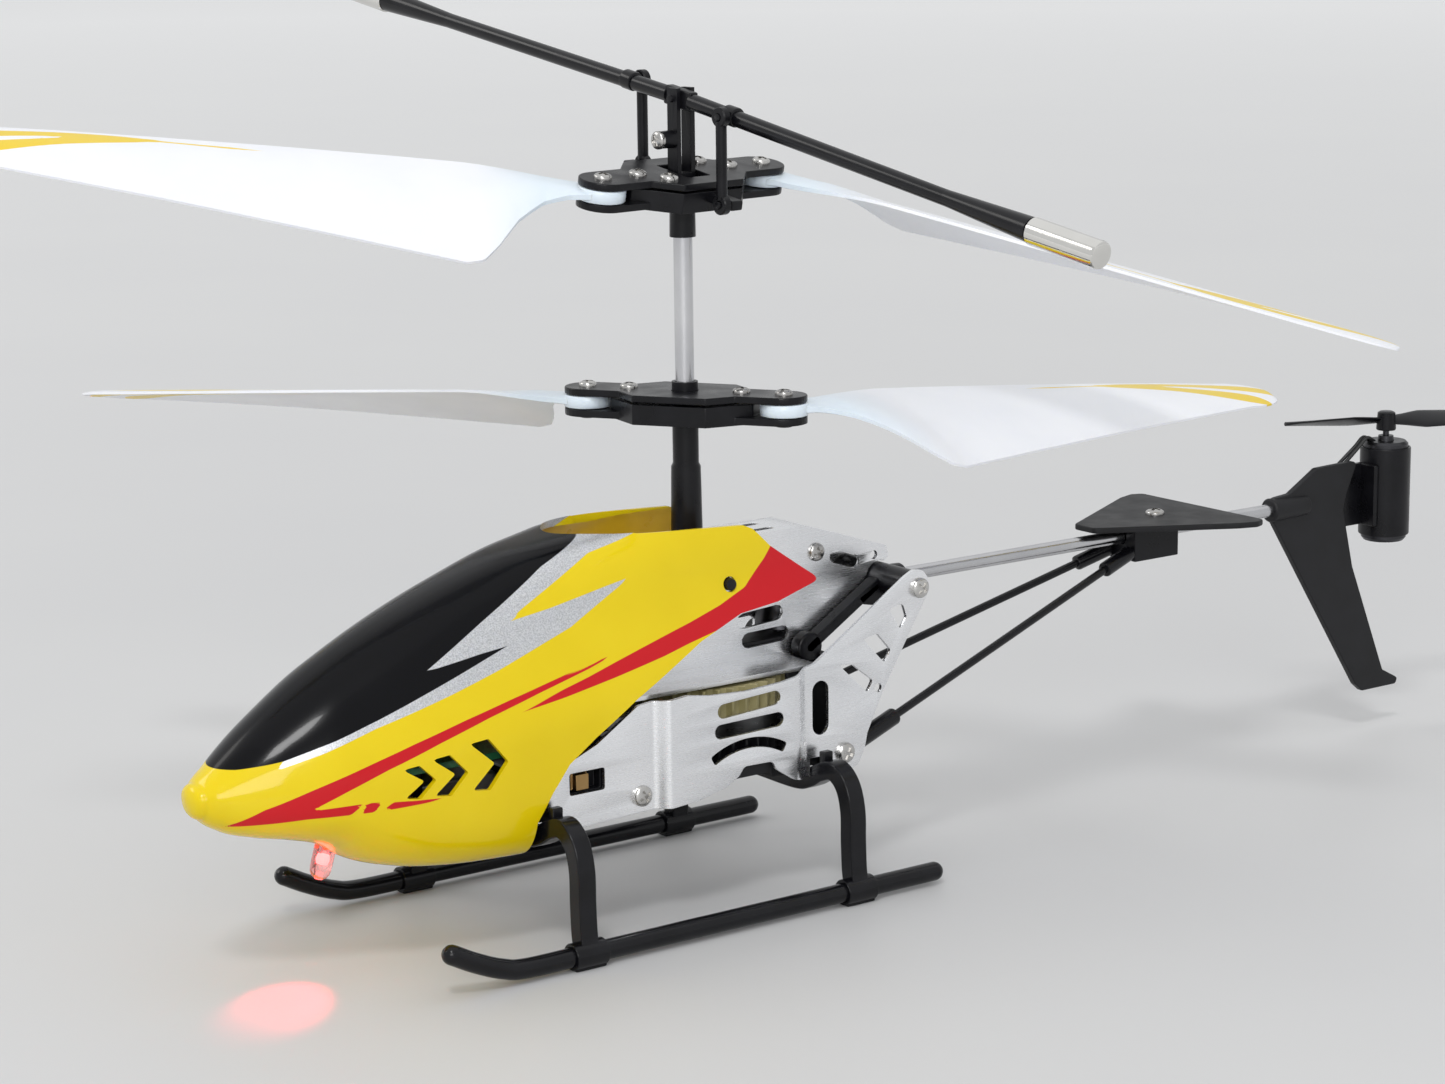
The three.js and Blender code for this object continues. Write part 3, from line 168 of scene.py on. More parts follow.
def transformed(part, matrix):
    """The part moved by a matrix."""
    points, faces = part
    return [tuple(matrix @ Vector(p)) for p in points], faces


def mirrored(part):
    """The part on the other side of the ship."""
    points, faces = part
    return [(x, -y, z) for x, y, z in points], [tuple(reversed(face)) for face in faces]


def turned(profile, sides):
    """A profile of (radius, z) turned about Z. It starts and ends on the axis, or is closed."""
    points, faces = [], []
    rows = []
    for radius, z in profile:
        if radius < 1e-6:
            rows.append([len(points)])
            points.append((0, 0, z))
        else:
            rows.append(list(range(len(points), len(points) + sides)))
            for i in range(sides):
                angle = 2 * math.pi * i / sides
                points.append((radius * math.cos(angle), radius * math.sin(angle), z))
    for low, high in zip(rows, rows[1:]):
        for i in range(sides):
            j = (i + 1) % sides
            if len(low) == 1 and len(high) == 1:
                continue
            if len(low) == 1:
                faces.append((low[0], high[j], high[i]))
            elif len(high) == 1:
                faces.append((low[i], low[j], high[0]))
            else:
                faces.append((low[i], low[j], high[j], high[i]))
    return points, faces


def ring_turned(profile, sides):
    """A closed profile of (radius, z), such as a sleeve's wall, turned about Z."""
    return turned(list(profile) + [profile[0]], sides)


def sleeve(inner, outer, low, high, across, lengthwise, sides):
    """A round sleeve from z = low to z = high, its outer edges cut back by across and lengthwise."""
    rim, near, far = outer - across, low + lengthwise, high - lengthwise
    return ring_turned([(inner, low), (rim, low), (outer, near), (outer, far), (rim, high), (inner, high)], sides)


def turning(degrees, axis):
    """A matrix that turns about one of the ship's axes."""
    return Matrix.Rotation(degrees * DEG, 4, axis)


def along(start, end):
    """A matrix that takes the Z axis from the origin to the line from start to end."""
    start, end = Vector(start), Vector(end)
    turn = (end - start).to_track_quat("Z", "Y").to_matrix().to_4x4()
    return Matrix.Translation(start) @ turn


def rod(start, end, radius, end_radius=None, edge=0.15, sides=40):
    """A round bar with softened ends."""
    end_radius = radius if end_radius is None else end_radius
    length = (Vector(end) - Vector(start)).length
    edge = min(edge, 0.4 * length, 0.6 * radius, 0.6 * end_radius)
    slant = edge * (end_radius - radius) / length
    profile = [
        (0, 0), (radius - edge, 0), (radius - 0.3 * edge, 0.3 * edge), (radius + slant, edge),
        (end_radius - slant, length - edge), (end_radius - 0.3 * edge, length - 0.3 * edge),
        (end_radius - edge, length), (0, length),
    ]
    return transformed(turned(profile, sides), along(start, end))


def block(low, high):
    """A box with sharp corners; put() rounds them with its bevel."""
    xs, ys, zs = zip(low, high)
    points = [(xs[i], ys[j], zs[k]) for i in (0, 1) for j in (0, 1) for k in (0, 1)]
    faces = [(0, 1, 3, 2), (4, 6, 7, 5), (0, 4, 5, 1), (2, 3, 7, 6), (0, 2, 6, 4), (1, 5, 7, 3)]
    return points, faces


def curve_through(a, b, c, d, steps):
    """Points from b towards c on the Catmull-Rom curve through four points."""
    bend = 2 * a - 5 * b + 4 * c - d
    twist = 3 * b - a - 3 * c + d
    return [
        0.5 * (2 * b + (c - a) * t + bend * t**2 + twist * t**3) for t in np.linspace(0, 1, steps, endpoint=False)
    ]


def smooth_path(points):
    """A smooth open curve through points."""
    p = np.array(points, float)
    padded = np.vstack([2 * p[0] - p[1], p, 2 * p[-1] - p[-2]])
    out = []
    for i in range(1, len(padded) - 2):
        out += curve_through(*padded[i - 1 : i + 3], 8)
    return np.array(out + [p[-1]])


def smooth_outline(points):
    """A smooth closed curve through points."""
    p = np.array(points, float)
    out = []
    for i in range(len(p)):
        out += curve_through(p[i - 1], p[i], p[(i + 1) % len(p)], p[(i + 2) % len(p)], 6)
    return out


def directions(path):
    """The unit direction of a path at each of its points."""
    tangents = np.gradient(path, axis=0)
    return tangents / np.linalg.norm(tangents, axis=1)[:, None]


# A tube's round end: radius and reach, as shares of the tube's own radius.
ROUND_END = [(0.97, 0.25), (0.85, 0.55), (0.6, 0.82), (0.0, 1.0)]


def tube(path, radius, sides):
    """A round bar along a path, with round ends."""
    path = np.array(path, float)
    tangents = directions(path)
    front = [path[0] - tangents[0] * radius * reach for _, reach in ROUND_END[::-1]]
    back = [path[-1] + tangents[-1] * radius * reach for _, reach in ROUND_END]
    caps = [radius * share for share, _ in ROUND_END]
    radii = np.concatenate([caps[::-1], np.full(len(path), float(radius)), caps])
    tangents = np.vstack([[tangents[0]] * len(caps), tangents, [tangents[-1]] * len(caps)])
    path = np.vstack([front, path, back])
    normal = np.cross(tangents[0], (0.31, 0.9, 0.22))
    points = []
    for place, tangent, r in zip(path, tangents, radii):
        normal = normal - tangent * np.dot(normal, tangent)
        normal /= np.linalg.norm(normal)
        other = np.cross(tangent, normal)
        for i in range(sides):
            angle = 2 * math.pi * i / sides
            offset = (normal * math.cos(angle) + other * math.sin(angle)) * max(r, 0.001)
            points.append(tuple(place + offset))
    return points, grid_faces(len(path), sides) + end_caps(len(path), sides)


def squared_bar(path, half_along, half_across):
    """A bar of rounded rectangular section along a path in y and z, standing at x = 0."""
    corner, steps = 0.28, 4
    section = []
    for quarter, (sx, sy) in enumerate(((1, 1), (-1, 1), (-1, -1), (1, -1))):
        centre = sx * (half_along - corner), sy * (half_across - corner)
        section += arc(centre, corner, 90 * quarter, 90 * quarter + 90, steps)
    points = []
    for (y, z), (ty, tz) in zip(path, directions(path)):
        points += [(a, y - b * tz, z + b * ty) for a, b in section]
    return points, grid_faces(len(path), len(section)) + end_caps(len(path), len(section))


def prism(outline, low, high):
    """An outline in x and y raised from low to high."""
    points = [(x, y, low) for x, y in outline] + [(x, y, high) for x, y in outline]
    return points, end_caps(2, len(outline)) + grid_faces(2, len(outline))


UPRIGHT = Matrix(((1, 0, 0, 0), (0, 0, -1, 0), (0, 1, 0, 0), (0, 0, 0, 1)))


def side_prism(outline, low, high):
    """An outline in x and z spread from y = low to y = high."""
    return transformed(prism(outline, -high, -low), UPRIGHT)


def filleted(outline, radius, steps=6):
    """The outline with its corners rounded, each by radius or by as much as its sides leave room for."""
    out = []
    count = len(outline)
    for i in range(count):
        before, corner, after = (Vector(outline[(i + k) % count]) for k in (-1, 0, 1))
        first, second = before - corner, after - corner
        half_turn = first.angle(second) / 2
        reach = min(radius / max(math.tan(half_turn), 1e-3), 0.45 * first.length, 0.45 * second.length)
        start = corner + first.normalized() * reach
        end = corner + second.normalized() * reach
        for k in range(steps + 1):
            t = k / steps
            out.append(tuple((1 - t) ** 2 * start + 2 * t * (1 - t) * corner + t**2 * end))
    return out


def eased(share):
    """The share kept between 0 and 1, with a soft start and a soft end."""
    share = min(1, max(0, share))
    return share * share * (3 - 2 * share)


def arc(centre, radius, start, end, steps):
    """Points on a circle from the angle start to the angle end, in degrees."""
    angles = [(start + (end - start) * i / steps) * DEG for i in range(steps + 1)]
    return [(centre[0] + radius * math.cos(a), centre[1] + radius * math.sin(a)) for a in angles]


def stadium(half_length, half_width):
    """A bar outline with round ends, along x."""
    reach = half_length - half_width
    return arc((reach, 0), half_width, -90, 90, 16) + arc((-reach, 0), half_width, 90, 270, 16)


def long_hole(start, end, radius):
    """A hole with round ends between two centres."""
    heading = math.atan2(end[1] - start[1], end[0] - start[0]) / DEG
    return arc(end, radius, heading - 90, heading + 90, 10) + arc(start, radius, heading + 90, heading + 270, 10)


def circle(centre, radius):
    """A round hole's outline, in 24 facets."""
    return arc(centre, radius, 0, 345, 23)


# ---------------------------------------------------------------- objects
def cleaned(mesh, merge=True):
    """Turns every face outward, after merging the points that coincide."""
    shape = bmesh.new()
    shape.from_mesh(mesh)
    if merge:
        bmesh.ops.remove_doubles(shape, verts=shape.verts, dist=1e-7)
    bmesh.ops.recalc_face_normals(shape, faces=shape.faces)
    shape.to_mesh(mesh)
    shape.free()


def bare(name, part):
    """A Blender object in metres in the row frame, cleaned up, with no material yet."""
    obj = raw_object(name, part)
    cleaned(obj.data)
    return obj


def raw_object(name, part):
    """A Blender object in metres in the row frame, its mesh as the part lists it."""
    points, faces = part
    mesh = bpy.data.meshes.new(name)
    mesh.from_pydata([tuple(Vector(p) * MM + SHIP) for p in points], [], faces)
    return linked(name, mesh)


def linked(name, data):
    """A new object of the scene that shows data."""
    obj = bpy.data.objects.new(name, data)
    bpy.context.scene.collection.objects.link(obj)
    return obj


def part_of(obj):
    """An object's mesh as a part in millimetres."""
    points = [tuple((v.co - SHIP) / MM) for v in obj.data.vertices]
    return points, [tuple(polygon.vertices) for polygon in obj.data.polygons]


def shade_smooth(mesh, angle=None):
    """Shades the mesh smooth, but for edges sharper than angle."""
    for polygon in mesh.polygons:
        polygon.use_smooth = True
    if angle is not None:
        mesh.set_sharp_from_angle(angle=angle * DEG)


def recoat(obj, material):
    """Leaves the object one material."""
    obj.data.materials.clear()
    obj.data.materials.append(material)


def soften(obj, bevel, angle):
    """Rounds the edges sharper than angle by bevel millimetres and shades the rest smooth."""
    shade_smooth(obj.data)
    if bevel:
        modifier = obj.modifiers.new("rounded_edges", "BEVEL")
        modifier.width = bevel * MM
        modifier.segments = 2
        modifier.limit_method = "ANGLE"
        modifier.angle_limit = angle * DEG
        modifier.miter_outer = "MITER_ARC"
    modifier = obj.modifiers.new("even_shading", "WEIGHTED_NORMAL")
    modifier.keep_sharp = True
    modifier.weight = 60


def put(name, part, material, body, replaced=(), bevel=0.0, angle=38):
    """A finished piece of one material."""
    obj = bare(name, part)
    obj.data.materials.append(material)
    soften(obj, bevel, angle)
    if not bevel:
        obj.data.set_sharp_from_angle(angle=angle * DEG)
    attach(obj, body)
    if replaced:
        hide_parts(*replaced)


def store(mesh, values):
    """Stores one number for each point of the mesh under each name, for its material to read."""
    for name, value in values.items():
        mesh.attributes.new(name, "FLOAT", "POINT").data.foreach_set("value", value.astype(np.float32))


def baked(obj):
    """The object's mesh with its modifiers applied."""
    bpy.context.view_layer.update()
    graph = bpy.context.evaluated_depsgraph_get()
    shown = obj.evaluated_get(graph)
    return bpy.data.meshes.new_from_object(shown, preserve_all_data_layers=True, depsgraph=graph)


def carved(obj, cutters, overlapping=False):
    """Cuts each closed part out of obj, whose own parts may overlap."""
    tools = []
    for i, cutter in enumerate(cutters):
        tool = bare("cutter", cutter)
        modifier = obj.modifiers.new(f"cut_{i}", "BOOLEAN")
        modifier.operation = "DIFFERENCE"
        modifier.solver = "EXACT"
        modifier.use_self = overlapping
        modifier.object = tool
        tools.append(tool)
    mesh = baked(obj)
    obj.modifiers.clear()
    obj.data = mesh
    for tool in tools:
        bpy.data.objects.remove(tool, do_unlink=True)


def dress(node, material, bevel):
    """Gives a CAD node its material, softened edges and even shading."""
    obj = frame["nodes"][node]
    recoat(obj, material)
    weld = obj.modifiers.new("weld", "WELD")
    weld.merge_threshold = 1e-6
    soften(obj, bevel, 35)


# ---------------------------------------------------------------- materials
def shader_of(name):
    """A new material with its node tree and its main shader."""
    material = bpy.data.materials.new(name)
    material.use_nodes = True
    tree = material.node_tree
    return material, tree, tree.nodes["Principled BSDF"]


def object_place(tree):
    """Where a point lies in its own object's space."""
    return tree.nodes.new("ShaderNodeTexCoord").outputs["Object"]


def noise(tree, scale, detail=4.0, stretch=(1, 1, 1)):
    """A noise value that stays with the object, drawn out along stretch."""
    mapping = tree.nodes.new("ShaderNodeMapping")
    mapping.inputs["Scale"].default_value = stretch
    texture = tree.nodes.new("ShaderNodeTexNoise")
    texture.inputs["Scale"].default_value = scale
    texture.inputs["Detail"].default_value = detail
    tree.links.new(object_place(tree), mapping.inputs["Vector"])
    tree.links.new(mapping.outputs["Vector"], texture.inputs["Vector"])
    return texture.outputs["Fac"]


def ranged(tree, value, low, high, start=0.3, end=0.7):
    """The value between start and end spread over low to high."""
    spread = tree.nodes.new("ShaderNodeMapRange")
    spread.inputs["From Min"].default_value = start
    spread.inputs["From Max"].default_value = end
    spread.inputs["To Min"].default_value = low
    spread.inputs["To Max"].default_value = high
    tree.links.new(value, spread.inputs["Value"])
    return spread.outputs["Result"]


def mixed(tree, share, first, second):
    """A colour between first and second; each is a colour or another node's output."""
    mix = tree.nodes.new("ShaderNodeMix")
    mix.data_type = "RGBA"
    tree.links.new(share, mix.inputs["Factor"])
    for socket, value in ((mix.inputs[6], first), (mix.inputs[7], second)):
        if isinstance(value, bpy.types.NodeSocket):
            tree.links.new(value, socket)
        else:
            socket.default_value = (*value, 1)
    return mix.outputs[2]


def mottled(tree, value, first, second):
    """A colour that drifts between two with a noise value."""
    return mixed(tree, ranged(tree, value, 0, 1), first, second)


def rough_bump(tree, shader, value, strength, distance):
    """Tiny dents that follow a noise value."""
    bump = tree.nodes.new("ShaderNodeBump")
    bump.inputs["Strength"].default_value = strength
    bump.inputs["Distance"].default_value = distance
    tree.links.new(value, bump.inputs["Height"])
    tree.links.new(bump.outputs["Normal"], shader.inputs["Normal"])


def plastic(name, colour, paler, roughness, strength=0.12, shine=0.5):
    """Moulded plastic: a faint mottle in its colour and gloss, and a fine grain."""
    material, tree, shader = shader_of(name)
    mottle = noise(tree, 260.0)
    tree.links.new(mottled(tree, mottle, colour, paler), shader.inputs["Base Color"])
    tree.links.new(ranged(tree, mottle, *roughness), shader.inputs["Roughness"])
    shader.inputs["Specular IOR Level"].default_value = shine
    rough_bump(tree, shader, noise(tree, 1400.0, 2.0), strength, 0.00004)
    return material


def metal(name, colour, darker, roughness, stretch=(1, 1, 1), strength=0.08):
    """Bare metal with a grain drawn out along stretch."""
    material, tree, shader = shader_of(name)
    shader.inputs["Metallic"].default_value = 1.0
    grain = noise(tree, 900.0, 6.0, stretch)
    cloud = noise(tree, 90.0, 3.0)
    tree.links.new(mottled(tree, cloud, colour, darker), shader.inputs["Base Color"])
    tree.links.new(ranged(tree, grain, *roughness), shader.inputs["Roughness"])
    rough_bump(tree, shader, grain, strength, 0.00003)
    return material


def attribute(tree, name):
    """A number stored on the mesh's points."""
    value = tree.nodes.new("ShaderNodeAttribute")
    value.attribute_name = name
    return value.outputs["Fac"]


def film_share(tree, name, low=0, high=1):
    """Goes from low outside a film's outline to high inside it."""
    return ranged(tree, attribute(tree, name), low, high, -FILM_EDGE, FILM_EDGE)


FILM_EDGE = 0.03
YELLOW = (0.73, 0.545, 0.002)
YELLOW_PALE = (0.77, 0.585, 0.006)
BLACK = (0.002, 0.002, 0.003)
RED = (0.55, 0.004, 0.010)


def canopy_paint():
    """Glossy yellow shell with black window film, silver flash and red stripes, each inside its own outline."""
    material, tree, shader = shader_of("canopy_paint")
    mottle = noise(tree, 70.0, 3.0)
    colour = mottled(tree, mottle, YELLOW, YELLOW_PALE)
    flake = noise(tree, 5200.0, 2.0)
    glitter = mixed(tree, ranged(tree, flake, 0, 1, 0.35, 0.65), (0.50, 0.51, 0.53), (0.74, 0.75, 0.77))
    for name, film in (("red_film", RED), ("silver_film", glitter), ("black_film", BLACK)):
        colour = mixed(tree, film_share(tree, name), colour, film)
    tree.links.new(colour, shader.inputs["Base Color"])
    tree.links.new(film_share(tree, "silver_metal", 0.0, 0.75), shader.inputs["Metallic"])
    tree.links.new(film_share(tree, "silver_metal", 0.2, 0.38), shader.inputs["Roughness"])
    shader.inputs["Specular IOR Level"].default_value = 0.12
    tree.links.new(film_share(tree, "black_film", 0.45, 0.12), shader.inputs["Coat Weight"])
    shader.inputs["Coat Roughness"].default_value = 0.05
    shader.inputs["Subsurface Weight"].default_value = 0.12
    shader.inputs["Subsurface Radius"].default_value = (0.002, 0.0012, 0.0003)
    rough_bump(tree, shader, noise(tree, 140.0, 2.0), 0.05, 0.0002)
    return material


def blade_plastic():
    """Frosted white blade with yellow tip flashes and a clearer, bluish root."""
    material, tree, shader = shader_of("blade_white")
    cloud = noise(tree, 120.0, 3.0)
    colour = mottled(tree, cloud, (0.83, 0.84, 0.875), (0.80, 0.815, 0.855))
    root = ranged(tree, attribute(tree, "near_root"), 0, 1, 0.0, 1.0)
    colour = mixed(tree, root, colour, (0.68, 0.78, 0.86))
    flash = ranged(tree, attribute(tree, "tip_flash"), 0, 1, -0.04, 0.04)
    colour = mixed(tree, flash, colour, (0.78, 0.56, 0.008))
    tree.links.new(colour, shader.inputs["Base Color"])
    tree.links.new(ranged(tree, cloud, 0.28, 0.4), shader.inputs["Roughness"])
    shader.inputs["Subsurface Weight"].default_value = 0.35
    shader.inputs["Subsurface Radius"].default_value = (0.003, 0.003, 0.0035)
    shader.inputs["Coat Weight"].default_value = 0.25
    shader.inputs["Coat Roughness"].default_value = 0.2
    rough_bump(tree, shader, noise(tree, 900.0, 2.0), 0.05, 0.00003)
    return material


def lamp_resin():
    """The lamp's clear red resin."""
    material, tree, shader = shader_of("lamp_resin")
    cloud = noise(tree, 300.0)
    tree.links.new(mottled(tree, cloud, (1, 0.62, 0.58), (1, 0.52, 0.5)), shader.inputs["Base Color"])
    tree.links.new(ranged(tree, cloud, 0.04, 0.1), shader.inputs["Roughness"])
    shader.inputs["Transmission Weight"].default_value = 0.92
    shader.inputs["IOR"].default_value = 1.5
    return material


def glowing(name, colour, strength):
    """A surface that gives off its own light."""
    material, tree, shader = shader_of(name)
    cloud = noise(tree, 500.0)
    tint = mottled(tree, cloud, colour, tuple(0.8 * c for c in colour))
    tree.links.new(tint, shader.inputs["Base Color"])
    tree.links.new(tint, shader.inputs["Emission Color"])
    shader.inputs["Emission Strength"].default_value = strength
    return material


def printed_board():
    """Green board with paler tracks."""
    material, tree, shader = shader_of("circuit_board")
    tracks = tree.nodes.new("ShaderNodeTexVoronoi")
    tracks.inputs["Scale"].default_value = 420.0
    tree.links.new(object_place(tree), tracks.inputs["Vector"])
    share = ranged(tree, tracks.outputs["Distance"], 0, 1, 0.35, 0.5)
    tree.links.new(mixed(tree, share, (0.01, 0.11, 0.05), (0.03, 0.22, 0.10)), shader.inputs["Base Color"])
    shader.inputs["Roughness"].default_value = 0.3
    return material


BLACK_SATIN = plastic("black_satin", (0.003, 0.003, 0.004), (0.007, 0.007, 0.009), (0.24, 0.38), shine=0.25)
BLACK_GLOSS = plastic(
    "black_gloss", (0.003, 0.003, 0.004), (0.006, 0.006, 0.008), (0.16, 0.26), strength=0.06, shine=0.3
)
BLACK_MATT = plastic(
    "black_matt", (0.006, 0.006, 0.007), (0.012, 0.012, 0.014), (0.42, 0.56), strength=0.2, shine=0.3
)
ALUMINIUM = metal(
    "plate_aluminium", (0.91, 0.915, 0.93), (0.83, 0.84, 0.86), (0.24, 0.31), (0.25, 1, 5), strength=0.035
)
STEEL = metal("bright_steel", (0.66, 0.66, 0.67), (0.52, 0.52, 0.54), (0.16, 0.26), (1, 1, 0.1))
STEEL_ALONG = metal("boom_steel", (0.62, 0.62, 0.63), (0.50, 0.50, 0.52), (0.16, 0.26), (0.1, 1, 1))
CHROME = metal("weight_steel", (0.80, 0.79, 0.76), (0.68, 0.67, 0.64), (0.09, 0.16), (1, 0.2, 1))
# Dark metal: the tail motor's can is black; on the motors and pinions inside the frame this dark colour is
# painted shade.
DARK_CASE_AND_SHADE_STEEL = metal("dark_case_and_painted_shade_steel", (0.07, 0.07, 0.075), (0.045, 0.045, 0.05), (0.3, 0.42))
SCREW_STEEL = metal("screw_steel", (0.60, 0.59, 0.57), (0.40, 0.39, 0.38), (0.18, 0.3))
GEAR_NYLON = plastic("gear_nylon", (0.26, 0.23, 0.10), (0.36, 0.32, 0.17), (0.3, 0.42))
BRASS = metal("switch_brass", (0.46, 0.30, 0.13), (0.30, 0.18, 0.07), (0.25, 0.4))
FILM = metal("battery_film", (0.55, 0.57, 0.60), (0.42, 0.44, 0.48), (0.3, 0.45))
BOARD = printed_board()
PAINT = canopy_paint()
SHELL_INSIDE = plastic("shell_inside", (0.62, 0.36, 0.01), (0.72, 0.45, 0.02), (0.25, 0.4))
BLADE_WHITE = blade_plastic()
RESIN = lamp_resin()
GLOW = glowing("lamp_glow", (1.0, 0.06, 0.06), 14.0)
WIRE_BLACK = plastic("wire_black", (0.012, 0.012, 0.013), (0.03, 0.03, 0.03), (0.35, 0.5))


# ---------------------------------------------------------------- screws
def screw_part():
    """A pan-head screw with a cross recess; its underside is at z = 0."""
    radius, height = SCREW_RADIUS, SCREW_HEIGHT
    dome = []
    for k in range(6):
        angle = k / 6 * 90 * DEG
        dome.append((radius * math.cos(angle), 0.3 * height + 0.7 * height * math.sin(angle)))
    obj = bare("screw_master", turned([(0, -0.2), (radius, -0.2), *dome, (0, height)], 36))
    arm, half, floor = 0.62 * radius, 0.17 * radius, 0.5 * height
    carved(obj, [block((-x, -y, floor), (x, y, height + 1)) for x, y in ((arm, half), (half, arm))])
    part = part_of(obj)
    bpy.data.objects.remove(obj, do_unlink=True)
    return part


SCREW = screw_part()


def screw(name, place, axis, body, replaced=(), scale=1.0, turn=20, matrix=None):
    """A screw head at place, facing along axis; matrix moves it on from there."""
    spin = turning(turn, "Z") @ Matrix.Scale(scale, 4)
    whole = along(place, tuple(Vector(place) + Vector(axis))) @ spin
    if matrix is not None:
        whole = matrix @ whole
    put(name, transformed(SCREW, whole), SCREW_STEEL, body, replaced, angle=30)


# ---------------------------------------------------------------- landing gear
def skids():
    path = [(-26.2, 0), (-10, 0), (10, 0), (30, 0), (41.5, 0), (45.5, 0.7), (49.5, 2.3), (53.0, 4.1)]
    for side, sign in SIDES:
        rail = tube(smooth_path([(x, sign * SKID_Y, z + SKID_Z) for x, z in path]), SKID_RADIUS, 24)
        put(f"skid_tube_{side}", rail, BLACK_GLOSS, "airframe", [f"skid_{side}"])


def struts():
    """An arch with its collars, and the feet and tabs under and beside it, at each station."""
    half = [
        (21.45, 2.6), (21.1, 4.6), (20.9, 8.5), (20.8, 12.9), (19.7, 16.2), (17.4, 17.9), (14.8, 17.3),
        (12.2, 15.9), (9.0, 15.1),
    ]
    whole = half + [(0, 15.1)] + [(-y, z) for y, z in reversed(half)]
    bar = squared_bar(smooth_path(whole), STRUT_HALF_ALONG, STRUT_HALF_ACROSS)
    collar = sleeve(SKID_RADIUS + 0.05, COLLAR_RADIUS, -COLLAR_HALF, COLLAR_HALF, 0.1, 0.15, 40)
    for node, x in STRUT_XS.items():
        parts, feet = [transformed(bar, Matrix.Translation((x, 0, 0)))], []
        for _, sign in SIDES:
            y = sign * SKID_Y
            parts.append(transformed(collar, Matrix.Translation((x, y, SKID_Z)) @ turning(90, "Y")))
            feet.append(block((x - 2.4, y - 1.1, 0.0), (x + 2.4, y + 1.1, 0.5)))
            inner, outer = sorted((sign * 14.3, sign * 15.5))
            feet.append(block((x - 0.8, inner, 17.0), (x + 0.8, outer, 20.2)))
        put(f"{node}_arch", combined(*parts), BLACK_GLOSS, "airframe", [node])
        put(f"{node}_feet", combined(*feet), BLACK_GLOSS, "airframe", bevel=0.18)


# ---------------------------------------------------------------- side plates
PLATE_OUTLINE = [
    (32.4, 16.1), (26.5, 16.05), (13.9, 16.6), (9.5, 16.9), (4.6, 18.0), (2.5, 19.2), (1.6, 20.4),
    (-3.2, 20.3), (-3.9, 19.0), (-6.9, 17.1), (-8.8, 16.6), (-17.8, 16.0), (-19.6, 16.8),
    (-20.7, 18.8), (-21.2, 21.0), (-24.0, 26.6), (-32.2, 39.6), (-32.3, 41.6), (-31.3, 42.9),
    (-29.6, 43.2), (-28.1, 42.5), (-12.0, 32.4), (-9.3, 31.8), (-5.0, 31.2), (1.0, 30.9), (7.0, 31.2),
    (11.0, 31.8), (17.8, 31.2), (24.5, 27.0), (29.0, 25.2), (32.4, 23.0),
]


def arched_hole():
    """A curved slot of even width."""
    centre, radius, half = (0.8, 11.4), 12.2, 0.7
    return filleted(arc(centre, radius + half, 120, 60, 16) + arc(centre, radius - half, 60, 120, 16), 0.6, 3)


def plate_holes():
    """Every opening in a side plate: slots, switch window, triangles and screw holes."""
    rear, front = SWITCH_X - 2.8, SWITCH_X + 2.8
    return [
        long_hole((-3.6, 29.2), (5.0, 28.7), 1.0),
        long_hole((-4.1, 26.1), (5.5, 25.9), 1.0),
        arched_hole(),
        long_hole((-12.9, 23.5), (-12.9, 28.4), 1.4),
        filleted([(rear, 20.7), (front, 20.7), (front, 23.7), (rear, 23.7)], 0.35, 3),
        filleted([(-25.1, 38.3), (-27.6, 38.6), (-28.3, 36.6), (-27.2, 34.9)], 0.5, 4),
        filleted([(-20.4, 34.6), (-23.0, 35.0), (-25.4, 32.3), (-24.3, 30.6)], 0.5, 4),
        filleted([(-16.1, 31.6), (-18.6, 31.2), (-22.2, 28.4), (-21.2, 26.8)], 0.5, 4),
        circle((-23.1, 27.2), 0.65),
        *(circle(place, 0.8) for place in [*LOW_SCREWS, CROSSBAR]),
    ]


def flat_plate(name, outline, holes, thickness):
    """A sheet with holes and slightly rounded edges, flat in x and y about z = 0."""
    edge = 0.06 * MM
    curve = bpy.data.curves.new(name, "CURVE")
    curve.dimensions = "2D"
    curve.fill_mode = "BOTH"
    curve.extrude = thickness / 2 * MM - edge
    curve.bevel_depth = edge
    curve.bevel_resolution = 1
    curve.offset = -edge
    for loop in [outline, *holes]:
        spline = curve.splines.new("POLY")
        spline.points.add(len(loop) - 1)
        for point, (x, y) in zip(spline.points, loop):
            point.co = (x * MM, y * MM, 0, 1)
        spline.use_cyclic_u = True
    obj = linked(name, curve)
    mesh = baked(obj)
    bpy.data.objects.remove(obj, do_unlink=True)
    return mesh


def bulge(x):
    """How far the plate stands out of its flat face at x."""
    rise = eased((FRONT_BEND - x) / FRONT_BEND_LENGTH)
    return (BULGE_Y - FLAT_Y) * rise * eased((x - REAR_BEND) / REAR_BEND_LENGTH)


